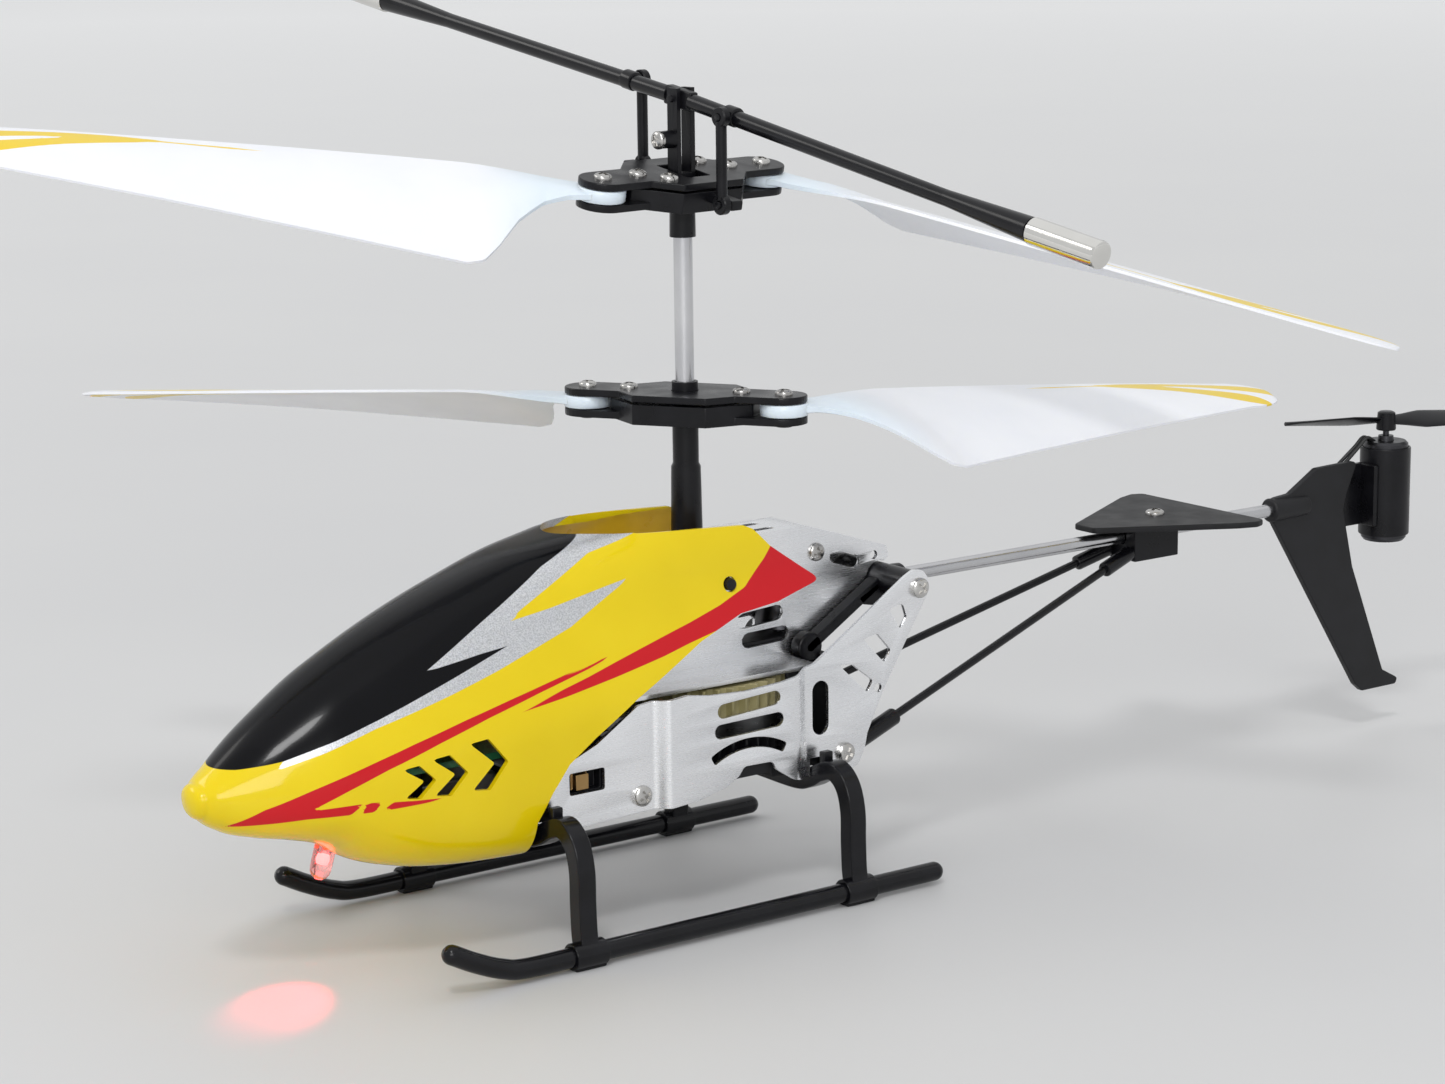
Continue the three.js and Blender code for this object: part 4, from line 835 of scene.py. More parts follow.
def side_plates():
    """One plate bent out of a flat sheet, and its mirror image, notched where the struts' tabs reach in."""
    shaped = bmesh.new()
    shaped.from_mesh(flat_plate("side_plate", filleted(PLATE_OUTLINE, 1.0, 4), plate_holes(), SHEET))
    for start, length in ((FRONT_BEND, -FRONT_BEND_LENGTH), (REAR_BEND, REAR_BEND_LENGTH)):
        for k in range(9):
            geometry = shaped.verts[:] + shaped.edges[:] + shaped.faces[:]
            cut = ((start + length * k / 8) * MM, 0, 0)
            bmesh.ops.bisect_plane(shaped, geom=geometry, plane_co=cut, plane_no=(1, 0, 0), dist=1e-7)
    for vertex in shaped.verts:
        x, z, depth = vertex.co / MM
        vertex.co = (x, FLAT_Y - SHEET / 2 + depth + bulge(x), z)
    bmesh.ops.remove_doubles(shaped, verts=shaped.verts, dist=1e-4)
    shaped.verts.index_update()
    part = [tuple(v.co) for v in shaped.verts], [tuple(v.index for v in f.verts) for f in shaped.faces]
    shaped.free()
    for side, sign in SIDES:
        obj = bare(f"side_plate_sheet_{side}", part if sign > 0 else mirrored(part))
        low, high = sorted((sign * 5.0, sign * 17.5))
        carved(obj, [block((x - 1.5, low, 10), (x + 1.5, high, 19.0)) for x in STRUT_XS.values()])
        recoat(obj, ALUMINIUM)
        shade_smooth(obj.data, 32)
        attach(obj, "airframe")
        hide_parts(f"side_plate_{side}")


def frame_metal():
    dress("upper_frame", ALUMINIUM, 0.12)
    for side, sign in SIDES:
        out = (0, sign, 0)
        for i, (x, z) in enumerate(LOW_SCREWS):
            replaced = [f"front_screw_{side}"] if i == 0 else []
            screw(f"plate_screw_{i}_{side}", (x, sign * FLAT_Y, z), out, "airframe", replaced, turn=25 + 40 * i)
        place = (CROSSBAR[0], sign * FLAT_Y, CROSSBAR[1])
        screw(f"crossbar_screw_{side}", place, out, "airframe", [f"top_screw_{side}"], turn=50)
        screw(f"channel_screw_{side}", (-19.2, sign * 4.2, 45.7), out, "airframe", scale=0.9, turn=10)


def inner_frame():
    dress("chassis", BLACK_MATT, 0.2)
    dress("motor_mount", BLACK_MATT, 0.2)
    reach = FLAT_Y - SHEET - 0.3
    x, z = CROSSBAR
    parts = [
        rod((x, -reach, z), (x, reach, z), 2.2, edge=0.3, sides=48),
        rod((x, 0, BOOM_Z), (-38, 0, BOOM_Z), 2.1, 1.8, edge=0.3),
    ]
    low_x, low_z = -16.4, 32.8
    web = filleted([(-24.8, 38.6), (-25.8, 37.6), (-28.7, 37.0), (-31.0, 38.6), (-30.6, 41.4)], 0.5)
    for near, far in ((4.5, 6.6), (-6.6, -4.5)):
        parts.append(side_prism(long_hole((low_x, low_z), (x, z + 1.0), 0.75), near, far))
        parts.append(side_prism(web, near, far))
        parts.append(rod((low_x, near, low_z), (low_x, far, low_z), 2.1, edge=0.3))
    put("rear_cross_frame", combined(*parts), BLACK_SATIN, "airframe", ["rear_bracket"], bevel=0.15)


# ---------------------------------------------------------------- canopy
# Sections of the shell: x, heights of the roof, the belly and the widest line, half-width, squareness
# and narrowing.
SECTIONS = [
    (-17.0, 54.0, 12.0, 27.0, 14.4, 7.0, 0.28), (0.0, 54.4, 12.0, 27.0, 14.4, 7.0, 0.28),
    (10.0, 54.8, 12.0, 27.0, 14.4, 6.0, 0.28), (18.0, 54.2, 12.2, 27.0, 14.4, 4.4, 0.27),
    (24.0, 53.3, 12.4, 26.5, 14.4, 3.6, 0.25), (31.0, 52.0, 12.6, 26.0, 14.3, 3.0, 0.23),
    (38.0, 49.9, 12.5, 25.5, 14.0, 2.6, 0.19), (45.0, 47.4, 12.6, 25.0, 13.4, 2.4, 0.14),
    (52.0, 44.5, 13.4, 24.7, 12.6, 2.2, 0.10), (57.0, 42.1, 14.9, 24.6, 11.6, 2.1, 0.07),
    (61.0, 39.9, 17.4, 24.6, 10.7, 2.1, 0.05), (66.0, 36.7, 19.0, 24.8, 9.2, 2.0, 0.03),
    (70.5, 33.4, 20.0, 25.2, 7.4, 2.0, 0.0), (74.5, 30.1, 21.4, 25.6, 5.0, 2.0, 0.0),
    (77.0, 28.0, 23.3, 26.0, 2.9, 2.0, 0.0), (78.4, 26.4, 25.6, 26.0, 0.3, 2.0, 0.0),
]
CANOPY_WALL = 0.7
CANOPY_REAR, CANOPY_NOSE = SECTIONS[0][0], SECTIONS[-1][0]
BLUNT_X = 72.0  # ahead of it the sections stand closer together


def section_at(x):
    """The section's measures at x, on a smooth curve through the listed ones."""
    table = np.array(SECTIONS)
    xs = table[:, 0]
    i = int(np.clip(np.searchsorted(xs, x) - 1, 0, len(xs) - 2))
    slopes = np.gradient(table[:, 1:], xs, axis=0)
    if i == len(xs) - 2:
        t = (x - xs[i]) / (xs[i + 1] - xs[i])
        share = 1 - math.sqrt(max(0.0, 1 - t * t))
        return table[i, 1:] * (1 - share) + table[i + 1, 1:] * share
    width = xs[i + 1] - xs[i]
    t = (x - xs[i]) / width
    a, b = table[i, 1:], table[i + 1, 1:]
    h00, h10 = 2 * t**3 - 3 * t**2 + 1, t**3 - 2 * t**2 + t
    h01, h11 = -2 * t**3 + 3 * t**2, t**3 - t**2
    return h00 * a + h10 * width * slopes[i] + h01 * b + h11 * width * slopes[i + 1]


def canopy_ring(x, inset, count):
    """The shell's outline across the ship at x, drawn in by inset."""
    roof, belly, waist, half_width, square, narrowing = section_at(x)
    width = max(0.05, half_width - inset)
    up = max(0.05, roof - waist - inset)
    down = max(0.05, waist - belly - inset)
    belly_square = 2.2 + 2.4 * min(1, max(0, (60 - x) / 25))
    ring = []
    for i in range(count):
        angle = 2 * math.pi * (i + 0.5) / count
        cos, sin = math.cos(angle), math.sin(angle)
        power = square if sin > 0 else belly_square
        across = math.copysign(abs(cos) ** (2 / power), cos)
        rise = math.copysign(abs(sin) ** (2 / power), sin)
        height = rise * (up if sin > 0 else down)
        ring.append((x, across * width * (1 - narrowing * eased((height - 3.5) / 17)), waist + height))
    return evened(ring)


def evened(ring):
    """The ring's points spread evenly along its length."""
    p = np.array(ring + [ring[0]])
    steps = np.linalg.norm(np.diff(p, axis=0), axis=1)
    run = np.concatenate([[0], np.cumsum(steps)])
    wanted = np.linspace(0, run[-1], len(ring), endpoint=False)
    return [tuple(np.interp(w, run, p[:, k]) for k in range(3)) for w in wanted]


def canopy_shell():
    """The shell's outer skin, then its inner one, closed at the nose and joined round the rear edge."""
    count = 200
    xs = [*np.arange(CANOPY_REAR, BLUNT_X, 0.5), *np.linspace(BLUNT_X, CANOPY_NOSE, 28)]
    points = [p for x in xs for p in canopy_ring(x, 0, count)]
    start = len(points)
    for x in xs:
        shift = 0 if x < 0 else CANOPY_WALL * min(1, x / 10)
        points += [(px - shift, py, pz) for px, py, pz in canopy_ring(x, CANOPY_WALL, count)]
    skin = grid_faces(len(xs), count) + end_caps(len(xs), count)[1:]
    faces = skin + [tuple(start + i for i in reversed(face)) for face in skin]
    for i in range(count):
        j = (i + 1) % count
        faces.append((j, i, start + i, start + j))
    return (points, faces), len(skin)


def chevrons():
    """Outlines of the three vents in each side."""
    for x, z, reach, width in ((51.5, 26.4, 2.2, 2.25), (47.2, 26.7, 2.7, 2.5), (41.6, 27.3, 3.4, 2.7)):
        yield [
            (x, z - reach), (x + width * 0.95, z - reach + 0.3), (x - width * 0.25, z + 0.1),
            (x + width, z + reach - 0.3), (x, z + reach), (x - width, z),
        ]


def led_matrix():
    """Where the nose lamp sits, leaning with the shell."""
    return Matrix.Translation((LED_X, 0, LED_Z)) @ turning(LED_LEAN, "Y")


def canopy_cutters():
    """What is cut out of the shell: its rear, the top opening, the vents, the stud and lamp holes."""
    behind = [
        (-30, 70), (14.5, 70), (14.5, 53.3), (6.0, 52.9), (-2.9, 52.4), (-4.3, 51.8), (-6.8, 49.2),
        (-14.8, 43.6), (-7.0, 41.6), (-0.5, 40.9), (7.0, 38.2), (18.6, 32.4), (25.4, 28.3),
        (29.6, 25.4), (32.3, 21.9), (34.6, 18.2), (34.9, 15.0), (34.9, 5), (-30, 5),
    ]
    opening = [(8 + 15.2 * math.cos(a * DEG), 8.4 * math.sin(a * DEG)) for a in range(90, -91, -6)]
    opening += [(-30, -8.4), (-30, 8.4)]
    cutters = [side_prism(filleted(behind, 0.7, 5), -20, 20), prism(opening, 48, 70)]
    cutters += [side_prism(filleted(outline, 0.25, 2), -20, 20) for outline in chevrons()]
    cutters.append(rod((PEG[0], -20, PEG[1]), (PEG[0], 20, PEG[1]), 1.05, edge=0))
    cutters.append(transformed(rod((0, 0, -12), (0, 0, 3.5), 1.75, edge=0), led_matrix()))
    return cutters


def inside_distance(points, outline):
    """How deep each point lies inside a closed outline; negative outside."""
    points = np.asarray(points, float)
    corners = np.asarray(outline, float)
    nearest = np.full(len(points), 1e9)
    inside = np.zeros(len(points), bool)
    for a, b in zip(corners, np.roll(corners, -1, axis=0)):
        edge = b - a
        t = np.clip(((points - a) @ edge) / max(edge @ edge, 1e-12), 0, 1)
        gap = np.linalg.norm(points - (a + t[:, None] * edge), axis=1)
        nearest = np.minimum(nearest, gap)
        crosses = (a[1] > points[:, 1]) != (b[1] > points[:, 1])
        at = a[0] + (points[:, 1] - a[1]) * edge[0] / (edge[1] if abs(edge[1]) > 1e-12 else 1e-12)
        inside ^= crosses & (points[:, 0] < at)
    return np.where(inside, nearest, -nearest)


# Films on the shell, as outlines in x and z seen from the side; the same on both sides.
BLACK_FILM = [
    (80.0, 29.8), (74.7, 29.8), (73.2, 29.9), (68.1, 30.8), (61.5, 32.8), (55.9, 34.7), (50.1, 36.8),
    (35.5, 41.9), (48.2, 39.8), (35.8, 46.5), (28.7, 50.5), (21.8, 53.3), (19.0, 54.5), (19.0, 60.0),
    (80.0, 60.0),
]
SILVER_FILM = [
    (69.1, 29.8), (63.3, 31.4), (56.2, 33.8), (45.4, 36.8), (38.6, 38.8), (26.6, 42.8), (16.2, 48.0),
    (20.5, 47.2), (28.9, 45.5), (35.2, 44.5), (33.3, 45.7), (21.7, 51.6), (16.8, 52.7), (13.8, 53.5),
    (12.5, 54.7), (12.5, 60.0), (30.0, 60.0), (66.0, 33.0),
]
RED_FILMS = [
    [
        (75.1, 22.7), (71.1, 25.0), (65.1, 27.1), (58.6, 29.2), (51.7, 31.4), (44.5, 33.4),
        (36.9, 35.3), (29.0, 37.1), (20.3, 38.8), (25.1, 37.4), (33.2, 35.4), (41.0, 33.3),
        (48.4, 31.0), (55.4, 28.6), (60.8, 26.5), (65.8, 24.4), (59.0, 24.6), (60.7, 23.3),
        (66.1, 23.3),
    ],
    [(59.4, 23.3), (57.7, 23.3), (56.6, 24.5), (58.4, 24.6)],
    [(56.7, 23.3), (46.6, 23.8), (55.2, 24.3)],
    [
        (37.4, 33.2), (29.7, 34.3), (21.6, 35.7), (13.1, 37.3), (8.8, 38.3), (3.4, 39.4), (-1.1, 40.1),
        (-8.4, 40.6), (-18.0, 40.6), (-18.0, 49.4), (-7.0, 49.3), (-5.6, 47.6), (-1.9, 44.2),
        (2.7, 42.4), (8.0, 40.9), (12.5, 39.8), (16.9, 38.7), (21.1, 37.6), (25.4, 36.4), (29.4, 35.4),
        (33.4, 34.3),
    ],
]


# ---------------------------------------------------------------- blades
# Stations of a main blade: distance from its hinge, leading edge, trailing edge, pitch, thickness.
BLADE_STATIONS = [
    (1.5, 2.9, -2.9, 0, 1.6), (4.5, 3.1, -3.3, 3, 1.5), (8.0, 3.3, -5.2, 9, 1.3),
    (11.5, 3.5, -9.4, 15, 1.15), (14.2, 3.6, -14.6, 19, 1.0), (16.2, 3.7, -17.4, 21, 0.95),
    (18.4, 3.8, -17.8, 22, 0.9), (27.0, 3.9, -16.4, 21, 0.9), (42.0, 3.9, -13.9, 19, 0.85),
    (58.0, 3.7, -11.2, 16.5, 0.8), (72.0, 3.3, -8.9, 14.5, 0.75), (82.0, 2.6, -7.1, 13, 0.7),
    (87.0, 1.5, -5.5, 12.5, 0.6), (89.6, -0.3, -3.6, 12, 0.5),
]
TIP_START, TIP_END = 82, 89.6
FLASH_LONG = [(38.0, 1.1), (60.0, 1.7), (74.0, 0.2), (89.0, -4.0), (89.0, -1.6), (76.0, 1.6), (62.0, 2.7)]
FLASH_SHORT = [(58.0, 1.9), (70.0, -1.6), (80.0, -5.4), (86.0, -7.0), (84.0, -4.2), (74.0, -0.8), (66.0, 1.6)]


def blade_part(lead_side, droop):
    """A cambered, twisted blade from its hinge at the origin along +X, with where each point lies on it."""
    across = 16
    table = np.array(BLADE_STATIONS)
    xs = np.concatenate([np.arange(1.5, 22, 0.5), np.arange(22, 86, 1.5), np.linspace(86, TIP_END, 8)])
    points, flat = [], []
    for x in xs:
        lead, trail, pitch, thickness = (np.interp(x, table[:, 0], table[:, k]) for k in (1, 2, 3, 4))
        if x > TIP_START:
            rounding = 1 - math.sqrt(max(0, 1 - ((x - TIP_START) / (TIP_END - TIP_START)) ** 2.4))
            lead, trail = 2.6 - 3.4 * rounding, -7.1 + 4.0 * rounding
        drop = max(0.0, x - 3) * math.tan(droop * DEG)
        for face in (1, -1):
            for i in range(across + 1):
                share = i / across if face > 0 else 1 - i / across
                y = lead + (trail - lead) * share
                edge = math.sin(math.pi * min(1, max(0, share * 0.94 + 0.03))) ** 0.35
                camber = 0.05 * (lead - trail) * math.sin(math.pi * share) * min(1, pitch / 10)
                z = face * edge * thickness / 2 + camber
                cos, sin = math.cos(pitch * DEG), math.sin(pitch * DEG)
                points.append((x, lead_side * (y * cos - z * sin), y * sin + z * cos - drop))
                flat.append((x, y))
    count = 2 * (across + 1)
    return (points, grid_faces(len(xs), count) + end_caps(len(xs), count)), flat


def blades():
    root = sleeve(0.93, BLADE_ROOT_RADIUS, -0.85, 0.85, 0.1, 0.1, 48)
    flashes = smooth_outline(FLASH_LONG), smooth_outline(FLASH_SHORT)
    for node, (body, end, swing, droop, lead_side) in BLADES.items():
        hub = hub_matrix(node.split("_")[0]) @ Matrix.Translation((end * HINGE_X, 0, 0))
        place = hub @ turning(swing if end > 0 else 180 + swing, "Z")
        part, flat = blade_part(lead_side, droop)
        obj = raw_object(f"{node}_moulding", transformed(combined(part, root), place))
        mesh = obj.data
        flat = np.array(flat + [(p[0], 0.0) for p in root[0]])
        store(mesh, {
            "near_root": np.clip((17.0 - flat[:, 0]) / 9.0, 0, 1) * 0.8,
            "tip_flash": np.maximum(*(inside_distance(flat, flash) for flash in flashes)),
        })
        cleaned(mesh, merge=False)
        mesh.materials.append(BLADE_WHITE)
        shade_smooth(mesh, 50)
        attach(obj, body)
        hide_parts(node)


# ---------------------------------------------------------------- rotor hubs, head and flybar
def hub_matrix(which):
    """Where the lower or the upper hub stands."""
    if which == "lower":
        return Matrix.Translation((0, 0, LOWER_HUB_Z)) @ turning(LOWER_ARM_AZIMUTH, "Z")
    turn = turning(UPPER_ARM_AZIMUTH, "Z") @ turning(HEAD_TILT, "X")
    return Matrix.Translation((0, 0, UPPER_HUB_Z)) @ turn


def flybar_matrix():
    """Where the flybar stands, over the upper hub and tilted with it."""
    return Matrix.Translation((0, 0, FLYBAR_Z - UPPER_HUB_Z)) @ hub_matrix("upper")


def hub_outline():
    """A hub plate seen from above: an arm with a round end each way from a six-sided middle."""
    arm = [(x, y) for x, y in stadium(HUB_HALF_LENGTH, HUB_HALF_WIDTH) if x > 10]
    half = [(5.3, -6.4), (8.4, -HUB_HALF_WIDTH), *arm, (8.4, HUB_HALF_WIDTH), (5.3, 6.4)]
    return half + [(-x, -y) for x, y in half]


HUB_MIDDLE = [(s * x, s * y) for s in (1, -1) for x, y in ((5.3, -6.4), (10.4, -1.5), (10.4, 1.5), (5.3, 6.4))]


def hub_plates(which, body, base_node, cover_node, hollow):
    """The hub's lower moulding and its cover, both pierced for the shaft or the rocking post."""
    place = hub_matrix(which)
    outline = filleted(hub_outline(), 0.5, 3)
    nuts = [rod((x, 0, -2.45), (x, 0, -1.5), 1.25, edge=0.15) for x in (HINGE_X, -HINGE_X)]
    base_parts = [prism(outline, -HUB_FACE, -HUB_GAP), prism(filleted(HUB_MIDDLE, 0.4, 3), -2.1, 0.67), *nuts]
    base = bare(f"{which}_hub_moulding", combined(*base_parts))
    cover = bare(f"{which}_hub_top_plate", prism(outline, HUB_GAP, HUB_FACE))
    for obj, node in ((base, base_node), (cover, cover_node)):
        carved(obj, [hollow], overlapping=obj is base)
        obj.data.transform(TO_ROW @ place @ TO_ROW.inverted())
        recoat(obj, BLACK_SATIN)
        soften(obj, 0.16, 40)
        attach(obj, body)
        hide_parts(node)
    spots = [(HINGE_X, 0), (HUB_SCREW_X, 0), (-HUB_SCREW_X, 0), (-HINGE_X, 0)]
    if which == "upper":
        spots += [(5.3, 3.1), (-5.3, -3.1)]
    for i, (x, y) in enumerate(spots):
        replaced = {0: [f"{which}_pivot_screw_a"], 3: [f"{which}_pivot_screw_b"]}.get(i, [])
        top = (x, y, HUB_FACE + 0.03)
        screw(f"{which}_hub_screw_{i}", top, (0, 0, 1), body, replaced, scale=0.85, turn=35 * i, matrix=place)


def hubs():
    shaft_hole, post_hole = rod((0, 0, -6), (0, 0, 6), 1.85, edge=0), block((-2.0, -3.2, -6), (2.0, 3.2, 6))
    hub_plates("lower", "lower_rotor", "lower_hub_base", "lower_hub_cover", shaft_hole)
    hub_plates("upper", "upper_hub", "upper_hub_base", "upper_hub_cover", post_hole)
    place = hub_matrix("upper")
    horns, pins = [], []
    for sign in (1, -1):
        near, far = sorted((sign * HUB_HALF_WIDTH, sign * (LINK_Y + 0.9)))
        horns.append(block((-1.0, near, -0.8), (1.0, far, 0.6)))
        pins.append(rod((sign * 0.6, sign * LINK_Y, 0), (sign * 2.9, sign * LINK_Y, 0), 0.5, sides=20))
    put("upper_hub_horns", transformed(combined(*horns), place), BLACK_SATIN, "upper_hub", bevel=0.25)
    put("upper_hub_pins", transformed(combined(*pins), place), BLACK_SATIN, "upper_hub")


def rotor_head():
    dress("rotor_head", BLACK_SATIN, 0.18)
    turn = turning(UPPER_ARM_AZIMUTH, "Z")
    screw("head_clamp_screw", (4.05, 0, 104.6), (1, 0, 0), "upper_mast", ["head_screw"], scale=0.85, matrix=turn)


def flybar():
    centre, bars = block((-0.75, -2.6, -1.3), (0.75, 2.6, 1.3)), []
    for sign in (1, -1):
        bars.append(rod((0, sign * 2.2, 0), (0, sign * FLYBAR_END, -0.9), 1.1, 1.05, sides=28))
        bars.append(rod((0, sign * (FLYBAR_END - 15), -0.68), (0, sign * FLYBAR_END, -0.9), 1.05, 1.65, sides=28))
        bars.append(rod((0, sign * LINK_Y, 0), (sign * 2.8, sign * LINK_Y, 0), 0.5, sides=20))
        bars.append(rod((0, sign * (LINK_Y - 1.1), 0), (0, sign * (LINK_Y + 1.1), 0), 1.35, edge=0.25, sides=28))
    place = flybar_matrix()
    put("flybar_centre", transformed(centre, place), BLACK_SATIN, "stabiliser", bevel=0.25)
    put("flybar_rods", transformed(combined(*bars), place), BLACK_GLOSS, "stabiliser", ["flybar"])
    profile = [(0, 65.6), (1.62, 65.6), (1.8, 65.8), (1.8, 76.6), (1.7, 76.95), (1.3, 77.1), (0, 77.1)]
    for side, sign in SIDES:
        local = Matrix.Translation((0, 0, -0.95)) @ turning(sign * -90, "X")
        weight = transformed(turned(profile, 48), place @ local)
        put(f"flybar_weight_bar_{side}", weight, CHROME, "stabiliser", [f"flybar_weight_{side}"])


def links():
    length = FLYBAR_Z - UPPER_HUB_Z
    eye = sleeve(0.58, EYE_RADIUS, -EYE_HALF, EYE_HALF, 0.15, 0.15, 32)
    for side, sign in SIDES:
        top = flybar_matrix() @ Vector((0, sign * LINK_Y, 0))
        x = sign * LINK_X
        parts = [rod((x, 0, -0.6), (x, 0, 0.6 - length), 0.75, sides=20)]
        for z in (0, -length):
            parts.append(transformed(eye, Matrix.Translation((x, 0, z)) @ turning(90, "Y")))
        place = Matrix.Translation(top) @ turning(UPPER_ARM_AZIMUTH, "Z")
        arm = transformed(combined(*parts), place)
        put(f"link_arm_{side}", arm, BLACK_SATIN, f"{side}_link", [f"link_{side}"])


def shafts():
    low, high = ship_box("inner_shaft")
    bar = rod((0, 0, low.z), (0, 0, high.z), 1.3, sides=48)
    put("inner_shaft_bar", bar, STEEL, "upper_mast", ["inner_shaft"])
    base, top = 25.7, LOWER_HUB_Z + 3.2
    wall = [
        (1.38, base), (1.8, base), (1.8, 50.3), (2.2, 50.6), (2.05, 59.7), (1.8, 60.2), (1.8, top),
        (1.38, top)
    ]
    put("outer_shaft_sleeve", ring_turned(wall, 48), BLACK_SATIN, "lower_rotor", ["outer_shaft"])


# ---------------------------------------------------------------- tail
def tail():
    low, high = ship_box("tail_boom")
    boom = rod((low.x, 0, BOOM_Z), (high.x, 0, BOOM_Z), 1.05, sides=32)
    put("tail_boom_bar", boom, STEEL_ALONG, "airframe", ["tail_boom"])
    dress("tail_clamp", BLACK_SATIN, 0.3)
    fin = [
        (-73.5, -2.2), (-73.5, 2.2), (-93.0, 13.2), (-96.0, 14.2), (-98.0, 13.4), (-98.0, -13.4),
        (-96.0, -14.2), (-93.0, -13.2)
    ]
    plane = prism(filleted(fin[::-1], 1.2, 5), 40.8, 41.7)
    put("tail_plane", plane, BLACK_MATT, "airframe", ["horizontal_fin"], bevel=0.2)
    screw("tail_plane_screw", (-88, 0, 41.7), (0, 0, 1), "airframe", ["fin_screw"])
    upright = [
        (-113.0, 37.2), (-113.0, 41.0), (-116.6, 41.3), (-122.5, 44.7), (-131.6, 44.9), (-129.2, 39.7),
        (-128.6, 37.3), (-131.0, 27.7), (-138.6, 9.5), (-142.2, 7.6), (-141.8, 6.6), (-134.0, 6.6),
        (-132.4, 7.9),
    ]
    parts = [
        side_prism(filleted(upright, 0.8, 4), -0.6, 0.6),
        rod((-112.4, 0, BOOM_Z), (-120.5, 0, BOOM_Z), 1.9, 1.7, edge=0.3)
    ]
    put("tail_fin", combined(*parts), BLACK_MATT, "airframe", ["vertical_fin"], bevel=0.2)
    for side, sign in SIDES:
        front, rear = Vector((-21.3, sign * 11.0, 19.4)), Vector((-80.7, sign * 2.3, 37.0))
        stay = combined(
            rod(front, rear, 0.6, sides=20),
            rod(front, front.lerp(rear, 0.125), 1.25, edge=0.3),
            rod(front.lerp(rear, 0.9), rear, 1.15, edge=0.3),
        )
        put(f"stay_{side}", stay, BLACK_GLOSS, "airframe", [f"support_rod_{side}"])


# Stations of the tail propeller: distance from its axis, half-width and pitch.
PROPELLER_STATIONS = [
    (0.8, 1.1, 30), (3.0, 1.5, 30), (6.0, 2.4, 26), (11.0, 2.5, 20), (15.2, 2.1, 16),
    (16.4, 1.5, 14.5), (16.9, 0.7, 14),
]


def propeller_blade():
    """One twisted blade of the tail propeller, along +X."""
    sides = 24
    table = np.array(PROPELLER_STATIONS)
    xs = np.linspace(table[0, 0], table[-1, 0], 36)
    points = []
    for x in xs:
        half, pitch = (np.interp(x, table[:, 0], table[:, k]) for k in (1, 2))
        cos, sin = math.cos(pitch * DEG), math.sin(pitch * DEG)
        for i in range(sides):
            angle = 2 * math.pi * i / sides
            y, z = half * math.cos(angle), 0.33 * math.sin(angle) + 0.1 * math.sin(angle / 2)
            points.append((x, y * cos - z * sin, y * sin + z * cos))
    return points, grid_faces(len(xs), sides) + end_caps(len(xs), sides)


def tail_drive():
    centre = Matrix.Translation((TAIL_MOTOR_X, 0, 0))
    jacket = sleeve(3.7, 4.05, 32.2, 46.4, 0.1, 0.15, 56)
    put("tail_motor_sleeve", transformed(jacket, centre), BLACK_SATIN, "airframe", ["tail_motor_holder"])
    lugs = combined(block((3.8, -2.1, 34.0), (10.5, -0.9, 44.0)), block((3.6, -2.1, 34.0), (4.6, 2.1, 44.0)))
    put("tail_motor_lug", transformed(lugs, centre), BLACK_SATIN, "airframe", bevel=0.25)
    can = [
        (0, 31.2), (3.2, 31.2), (3.6, 31.7), (3.6, 47.0), (3.2, 47.4), (1.3, 47.4), (1.2, 48.2),
        (0.5, 48.2), (0.5, 51.2), (0, 51.2),
    ]
    put("tail_motor_can", transformed(turned(can, 56), centre), DARK_CASE_AND_SHADE_STEEL, "airframe", ["tail_motor"])
    blade = propeller_blade()
    hub = turned([(0, -1.5), (1.5, -1.5), (1.6, -1.3), (1.4, 1.3), (1.1, 1.5), (0, 1.5)], 36)
    whole = combined(blade, transformed(blade, turning(180, "Z")), hub)
    place = Matrix.Translation((TAIL_MOTOR_X, 0, TAIL_ROTOR_Z)) @ turning(TAIL_ROTOR_AZIMUTH, "Z")
    put("tail_propeller_moulding", transformed(whole, place), BLACK_SATIN, "tail_propeller", ["tail_rotor"])


# ---------------------------------------------------------------- nose lamp, peg and inner pieces
def lamp():
    low = led_matrix()
    lens = [
        (0, -2.6), (0.55, -2.52), (1.0, -2.2), (1.3, -1.7), (1.42, -1.0), (1.45, -0.4), (1.45, 3.6),
        (1.7, 3.6), (1.7, 4.4), (0, 4.4)
    ]
    put("nose_lamp_lens", transformed(turned(lens, 40), low), RESIN, "airframe", ["nose_led"])
    core = [(0, -0.6), (0.5, -0.5), (0.62, 0.1), (0.5, 0.9), (0, 1.0)]
    put("nose_lamp_core", transformed(turned(core, 24), low), GLOW, "airframe")
    legs = [rod((s * 0.45, 0, 0.9), (s * 0.45, 0, 4.3), 0.2, sides=10) for s in (1, -1)]
    put("nose_lamp_legs", transformed(combined(*legs), low), STEEL, "airframe")


def pegs():
    x, z = PEG
    for side, sign in SIDES:
        stud = combined(
            rod((x, sign * 3.4, z), (x, sign * 8.6, z), 1.6, edge=0.2),
            rod((x, sign * 8.4, z), (x, sign * 11.1, z), 0.95, 0.85, edge=0.25),
        )
        put(f"canopy_stud_{side}", stud, BLACK_GLOSS, "airframe", [f"canopy_peg_{side}"])


def inner_pieces():
    # The motors and pinions inside the frame are painted dark as painted shade of the frame's slots.
    for node in ("motor_front", "motor_rear", "pinion_front", "pinion_rear"):
        dress(node, DARK_CASE_AND_SHADE_STEEL, 0.0)
    dress("lower_main_gear", BLACK_SATIN, 0.05)
    dress("upper_main_gear", GEAR_NYLON, 0.05)
    dress("battery_tray", BLACK_SATIN, 0.15)
    dress("battery", FILM, 0.6)
    dress("circuit_board", BOARD, 0.1)
    dress("power_switch_body", BLACK_SATIN, 0.15)
    dress("power_switch_slider", BRASS, 0.15)


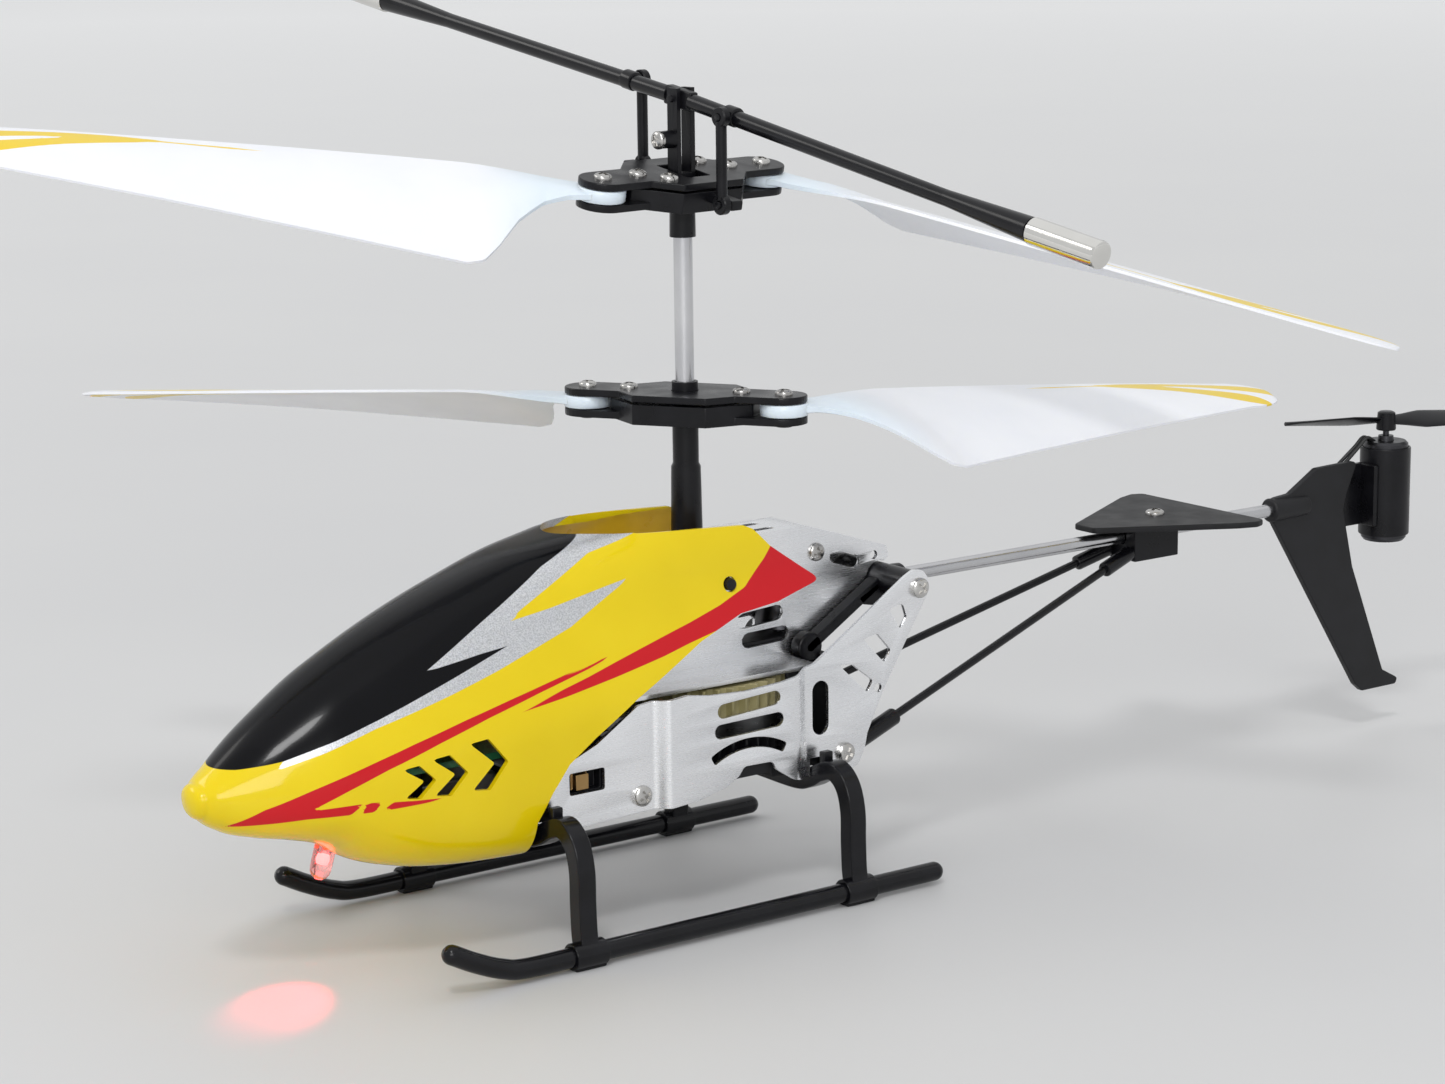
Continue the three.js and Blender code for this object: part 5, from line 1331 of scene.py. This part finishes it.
def wires():
    """The tail motor's two leads, from its top round to the boom."""
    centre = Matrix.Translation((TAIL_MOTOR_X, 0, 0))
    for name, y in (("near", -0.9), ("far", -1.7)):
        route = [
            (1.6, y, 47.2), (3.4, y, 48.0), (5.4, y, 46.6), (8.6, y * 1.3, 44.0),
            (13.5, y * 1.4, 40.6), (19.0, y * 1.4, 39.6),
        ]
        lead = transformed(tube(smooth_path(route), 0.3, 12), centre)
        put(f"tail_lead_{name}", lead, WIRE_BLACK, "airframe")


# ---------------------------------------------------------------- canopy assembly
def canopy():
    """The painted shell. Each point knows how deep it lies inside each film's outline."""
    part, painted = canopy_shell()
    obj = raw_object("canopy_shell", part)
    obj.data.materials.append(PAINT)
    obj.data.materials.append(SHELL_INSIDE)
    for i, polygon in enumerate(obj.data.polygons):
        polygon.material_index = 0 if i < painted else 1
    carved(obj, canopy_cutters())
    flat = np.array(part_of(obj)[0])[:, [0, 2]]
    black = inside_distance(flat, BLACK_FILM)
    silver = inside_distance(flat, SILVER_FILM)
    red = np.max([inside_distance(flat, outline) for outline in RED_FILMS], axis=0)
    metal_only = np.minimum(silver, -black)
    store(obj.data, {"black_film": black, "silver_film": silver, "red_film": red, "silver_metal": metal_only})
    shade_smooth(obj.data, 40)
    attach(obj, "airframe")
    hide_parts("canopy")


# ---------------------------------------------------------------- scene
def aimed(obj, place, aim):
    """Stands a light at place, shining towards aim."""
    obj.location = place
    obj.rotation_euler = (Vector(aim) - Vector(place)).to_track_quat("-Z", "Y").to_euler()


def light(name, place, aim, size, energy, colour=(1, 1, 1)):
    """A soft rectangular light, in metres."""
    data = bpy.data.lights.new(name, "AREA")
    data.shape = "RECTANGLE"
    data.size, data.size_y = size
    data.energy = energy
    data.color = colour
    obj = linked(name, data)
    aimed(obj, place, aim)


def studio():
    """A pale floor whose colour brightens with distance as painted light, an even sky and four soft lights."""
    mesh = bpy.data.meshes.new("studio_floor")
    mesh.from_pydata([(-6, -6, 0), (6, -6, 0), (6, 6, 0), (-6, 6, 0)], [], [(0, 1, 2, 3)])
    floor = linked("studio_floor", mesh)
    material, tree, shader = shader_of("studio_floor")
    cloud = noise(tree, 6.0, 4.0)
    # Painted light: the floor's colour grows paler away from the ship, standing in for how the lamps' light falls
    # off.
    near_colour = mottled(tree, cloud, (0.58, 0.58, 0.585), (0.60, 0.60, 0.60))
    length = tree.nodes.new("ShaderNodeVectorMath")
    length.operation = "LENGTH"
    tree.links.new(object_place(tree), length.inputs[0])
    far = ranged(tree, length.outputs["Value"], 0, 1, 0.2, 2.2)
    tree.links.new(mixed(tree, far, near_colour, (0.93, 0.93, 0.93)), shader.inputs["Base Color"])
    shader.inputs["Roughness"].default_value = 0.55
    mesh.materials.append(material)
    bpy.context.scene.view_settings.view_transform = "Standard"
    world = bpy.data.worlds.new("studio_world")
    bpy.context.scene.world = world
    world.use_nodes = True
    background = world.node_tree.nodes["Background"]
    background.inputs["Color"].default_value = (0.86, 0.87, 0.88, 1)
    background.inputs["Strength"].default_value = 0.80
    light("ceiling_light", (-0.8, -0.8, 3.0), (-0.8, -0.8, 0), (5.0, 5.0), 14.0)
    light("front_light", (1.2, 1.6, 0.9), (0, 0, 0.05), (1.2, 0.8), 13.0)
    light("key_light", (0.9, 0.9, 1.7), (0, 0, 0.05), (0.35, 0.3), 10.0)
    light("side_light", (1.0, -1.1, 1.1), (0, 0, 0.05), (0.9, 0.5), 4.5, (1.0, 0.98, 0.95))


def lamp_beam():
    """The nose lamp's own light, a soft red spot on the floor ahead of it."""
    data = bpy.data.lights.new("nose_lamp_beam", "SPOT")
    data.energy = 0.026
    data.color = (1.0, 0.03, 0.05)
    data.spot_size = 46 * DEG
    data.spot_blend = 0.7
    data.shadow_soft_size = 0.001
    obj = linked("nose_lamp_beam", data)
    aimed(obj, SHIP + led_matrix() @ Vector((0, 0, -3.4)) * MM, SHIP + Vector((69.9, 8.4, 0)) * MM)


# The picture's viewpoint in the ship's frame, and the lens that goes with it.
SENSOR_WIDTH = 36
LENS = 87.19723
CAMERA_PLACE = (275.0, 384.81, 147.35)


def camera():
    """The picture's viewing angle: from the nose's port side, a little above the canopy."""
    yaw, pitch, roll = -126.144 * DEG, 11.755 * DEG, -0.692 * DEG
    forward = Vector((math.cos(yaw) * math.cos(pitch), math.sin(yaw) * math.cos(pitch), -math.sin(pitch)))
    right = Vector((math.sin(yaw), -math.cos(yaw), 0))
    up = right.cross(forward)
    right, up = math.cos(roll) * right + math.sin(roll) * up, -math.sin(roll) * right + math.cos(roll) * up
    data = bpy.data.cameras.new("main_camera")
    data.sensor_width = SENSOR_WIDTH
    data.lens = LENS
    data.clip_start = 0.01
    data.clip_end = 50
    obj = linked("main_camera", data)
    turn = Matrix((right, up, -forward)).transposed().to_4x4()
    obj.matrix_world = Matrix.Translation(SHIP + Vector(CAMERA_PLACE) * MM) @ turn
    bpy.context.scene.camera = obj


skids()
struts()
side_plates()
frame_metal()
inner_frame()
canopy()
shafts()
hubs()
blades()
rotor_head()
flybar()
links()
tail()
tail_drive()
lamp()
pegs()
inner_pieces()
wires()
studio()
lamp_beam()
camera()
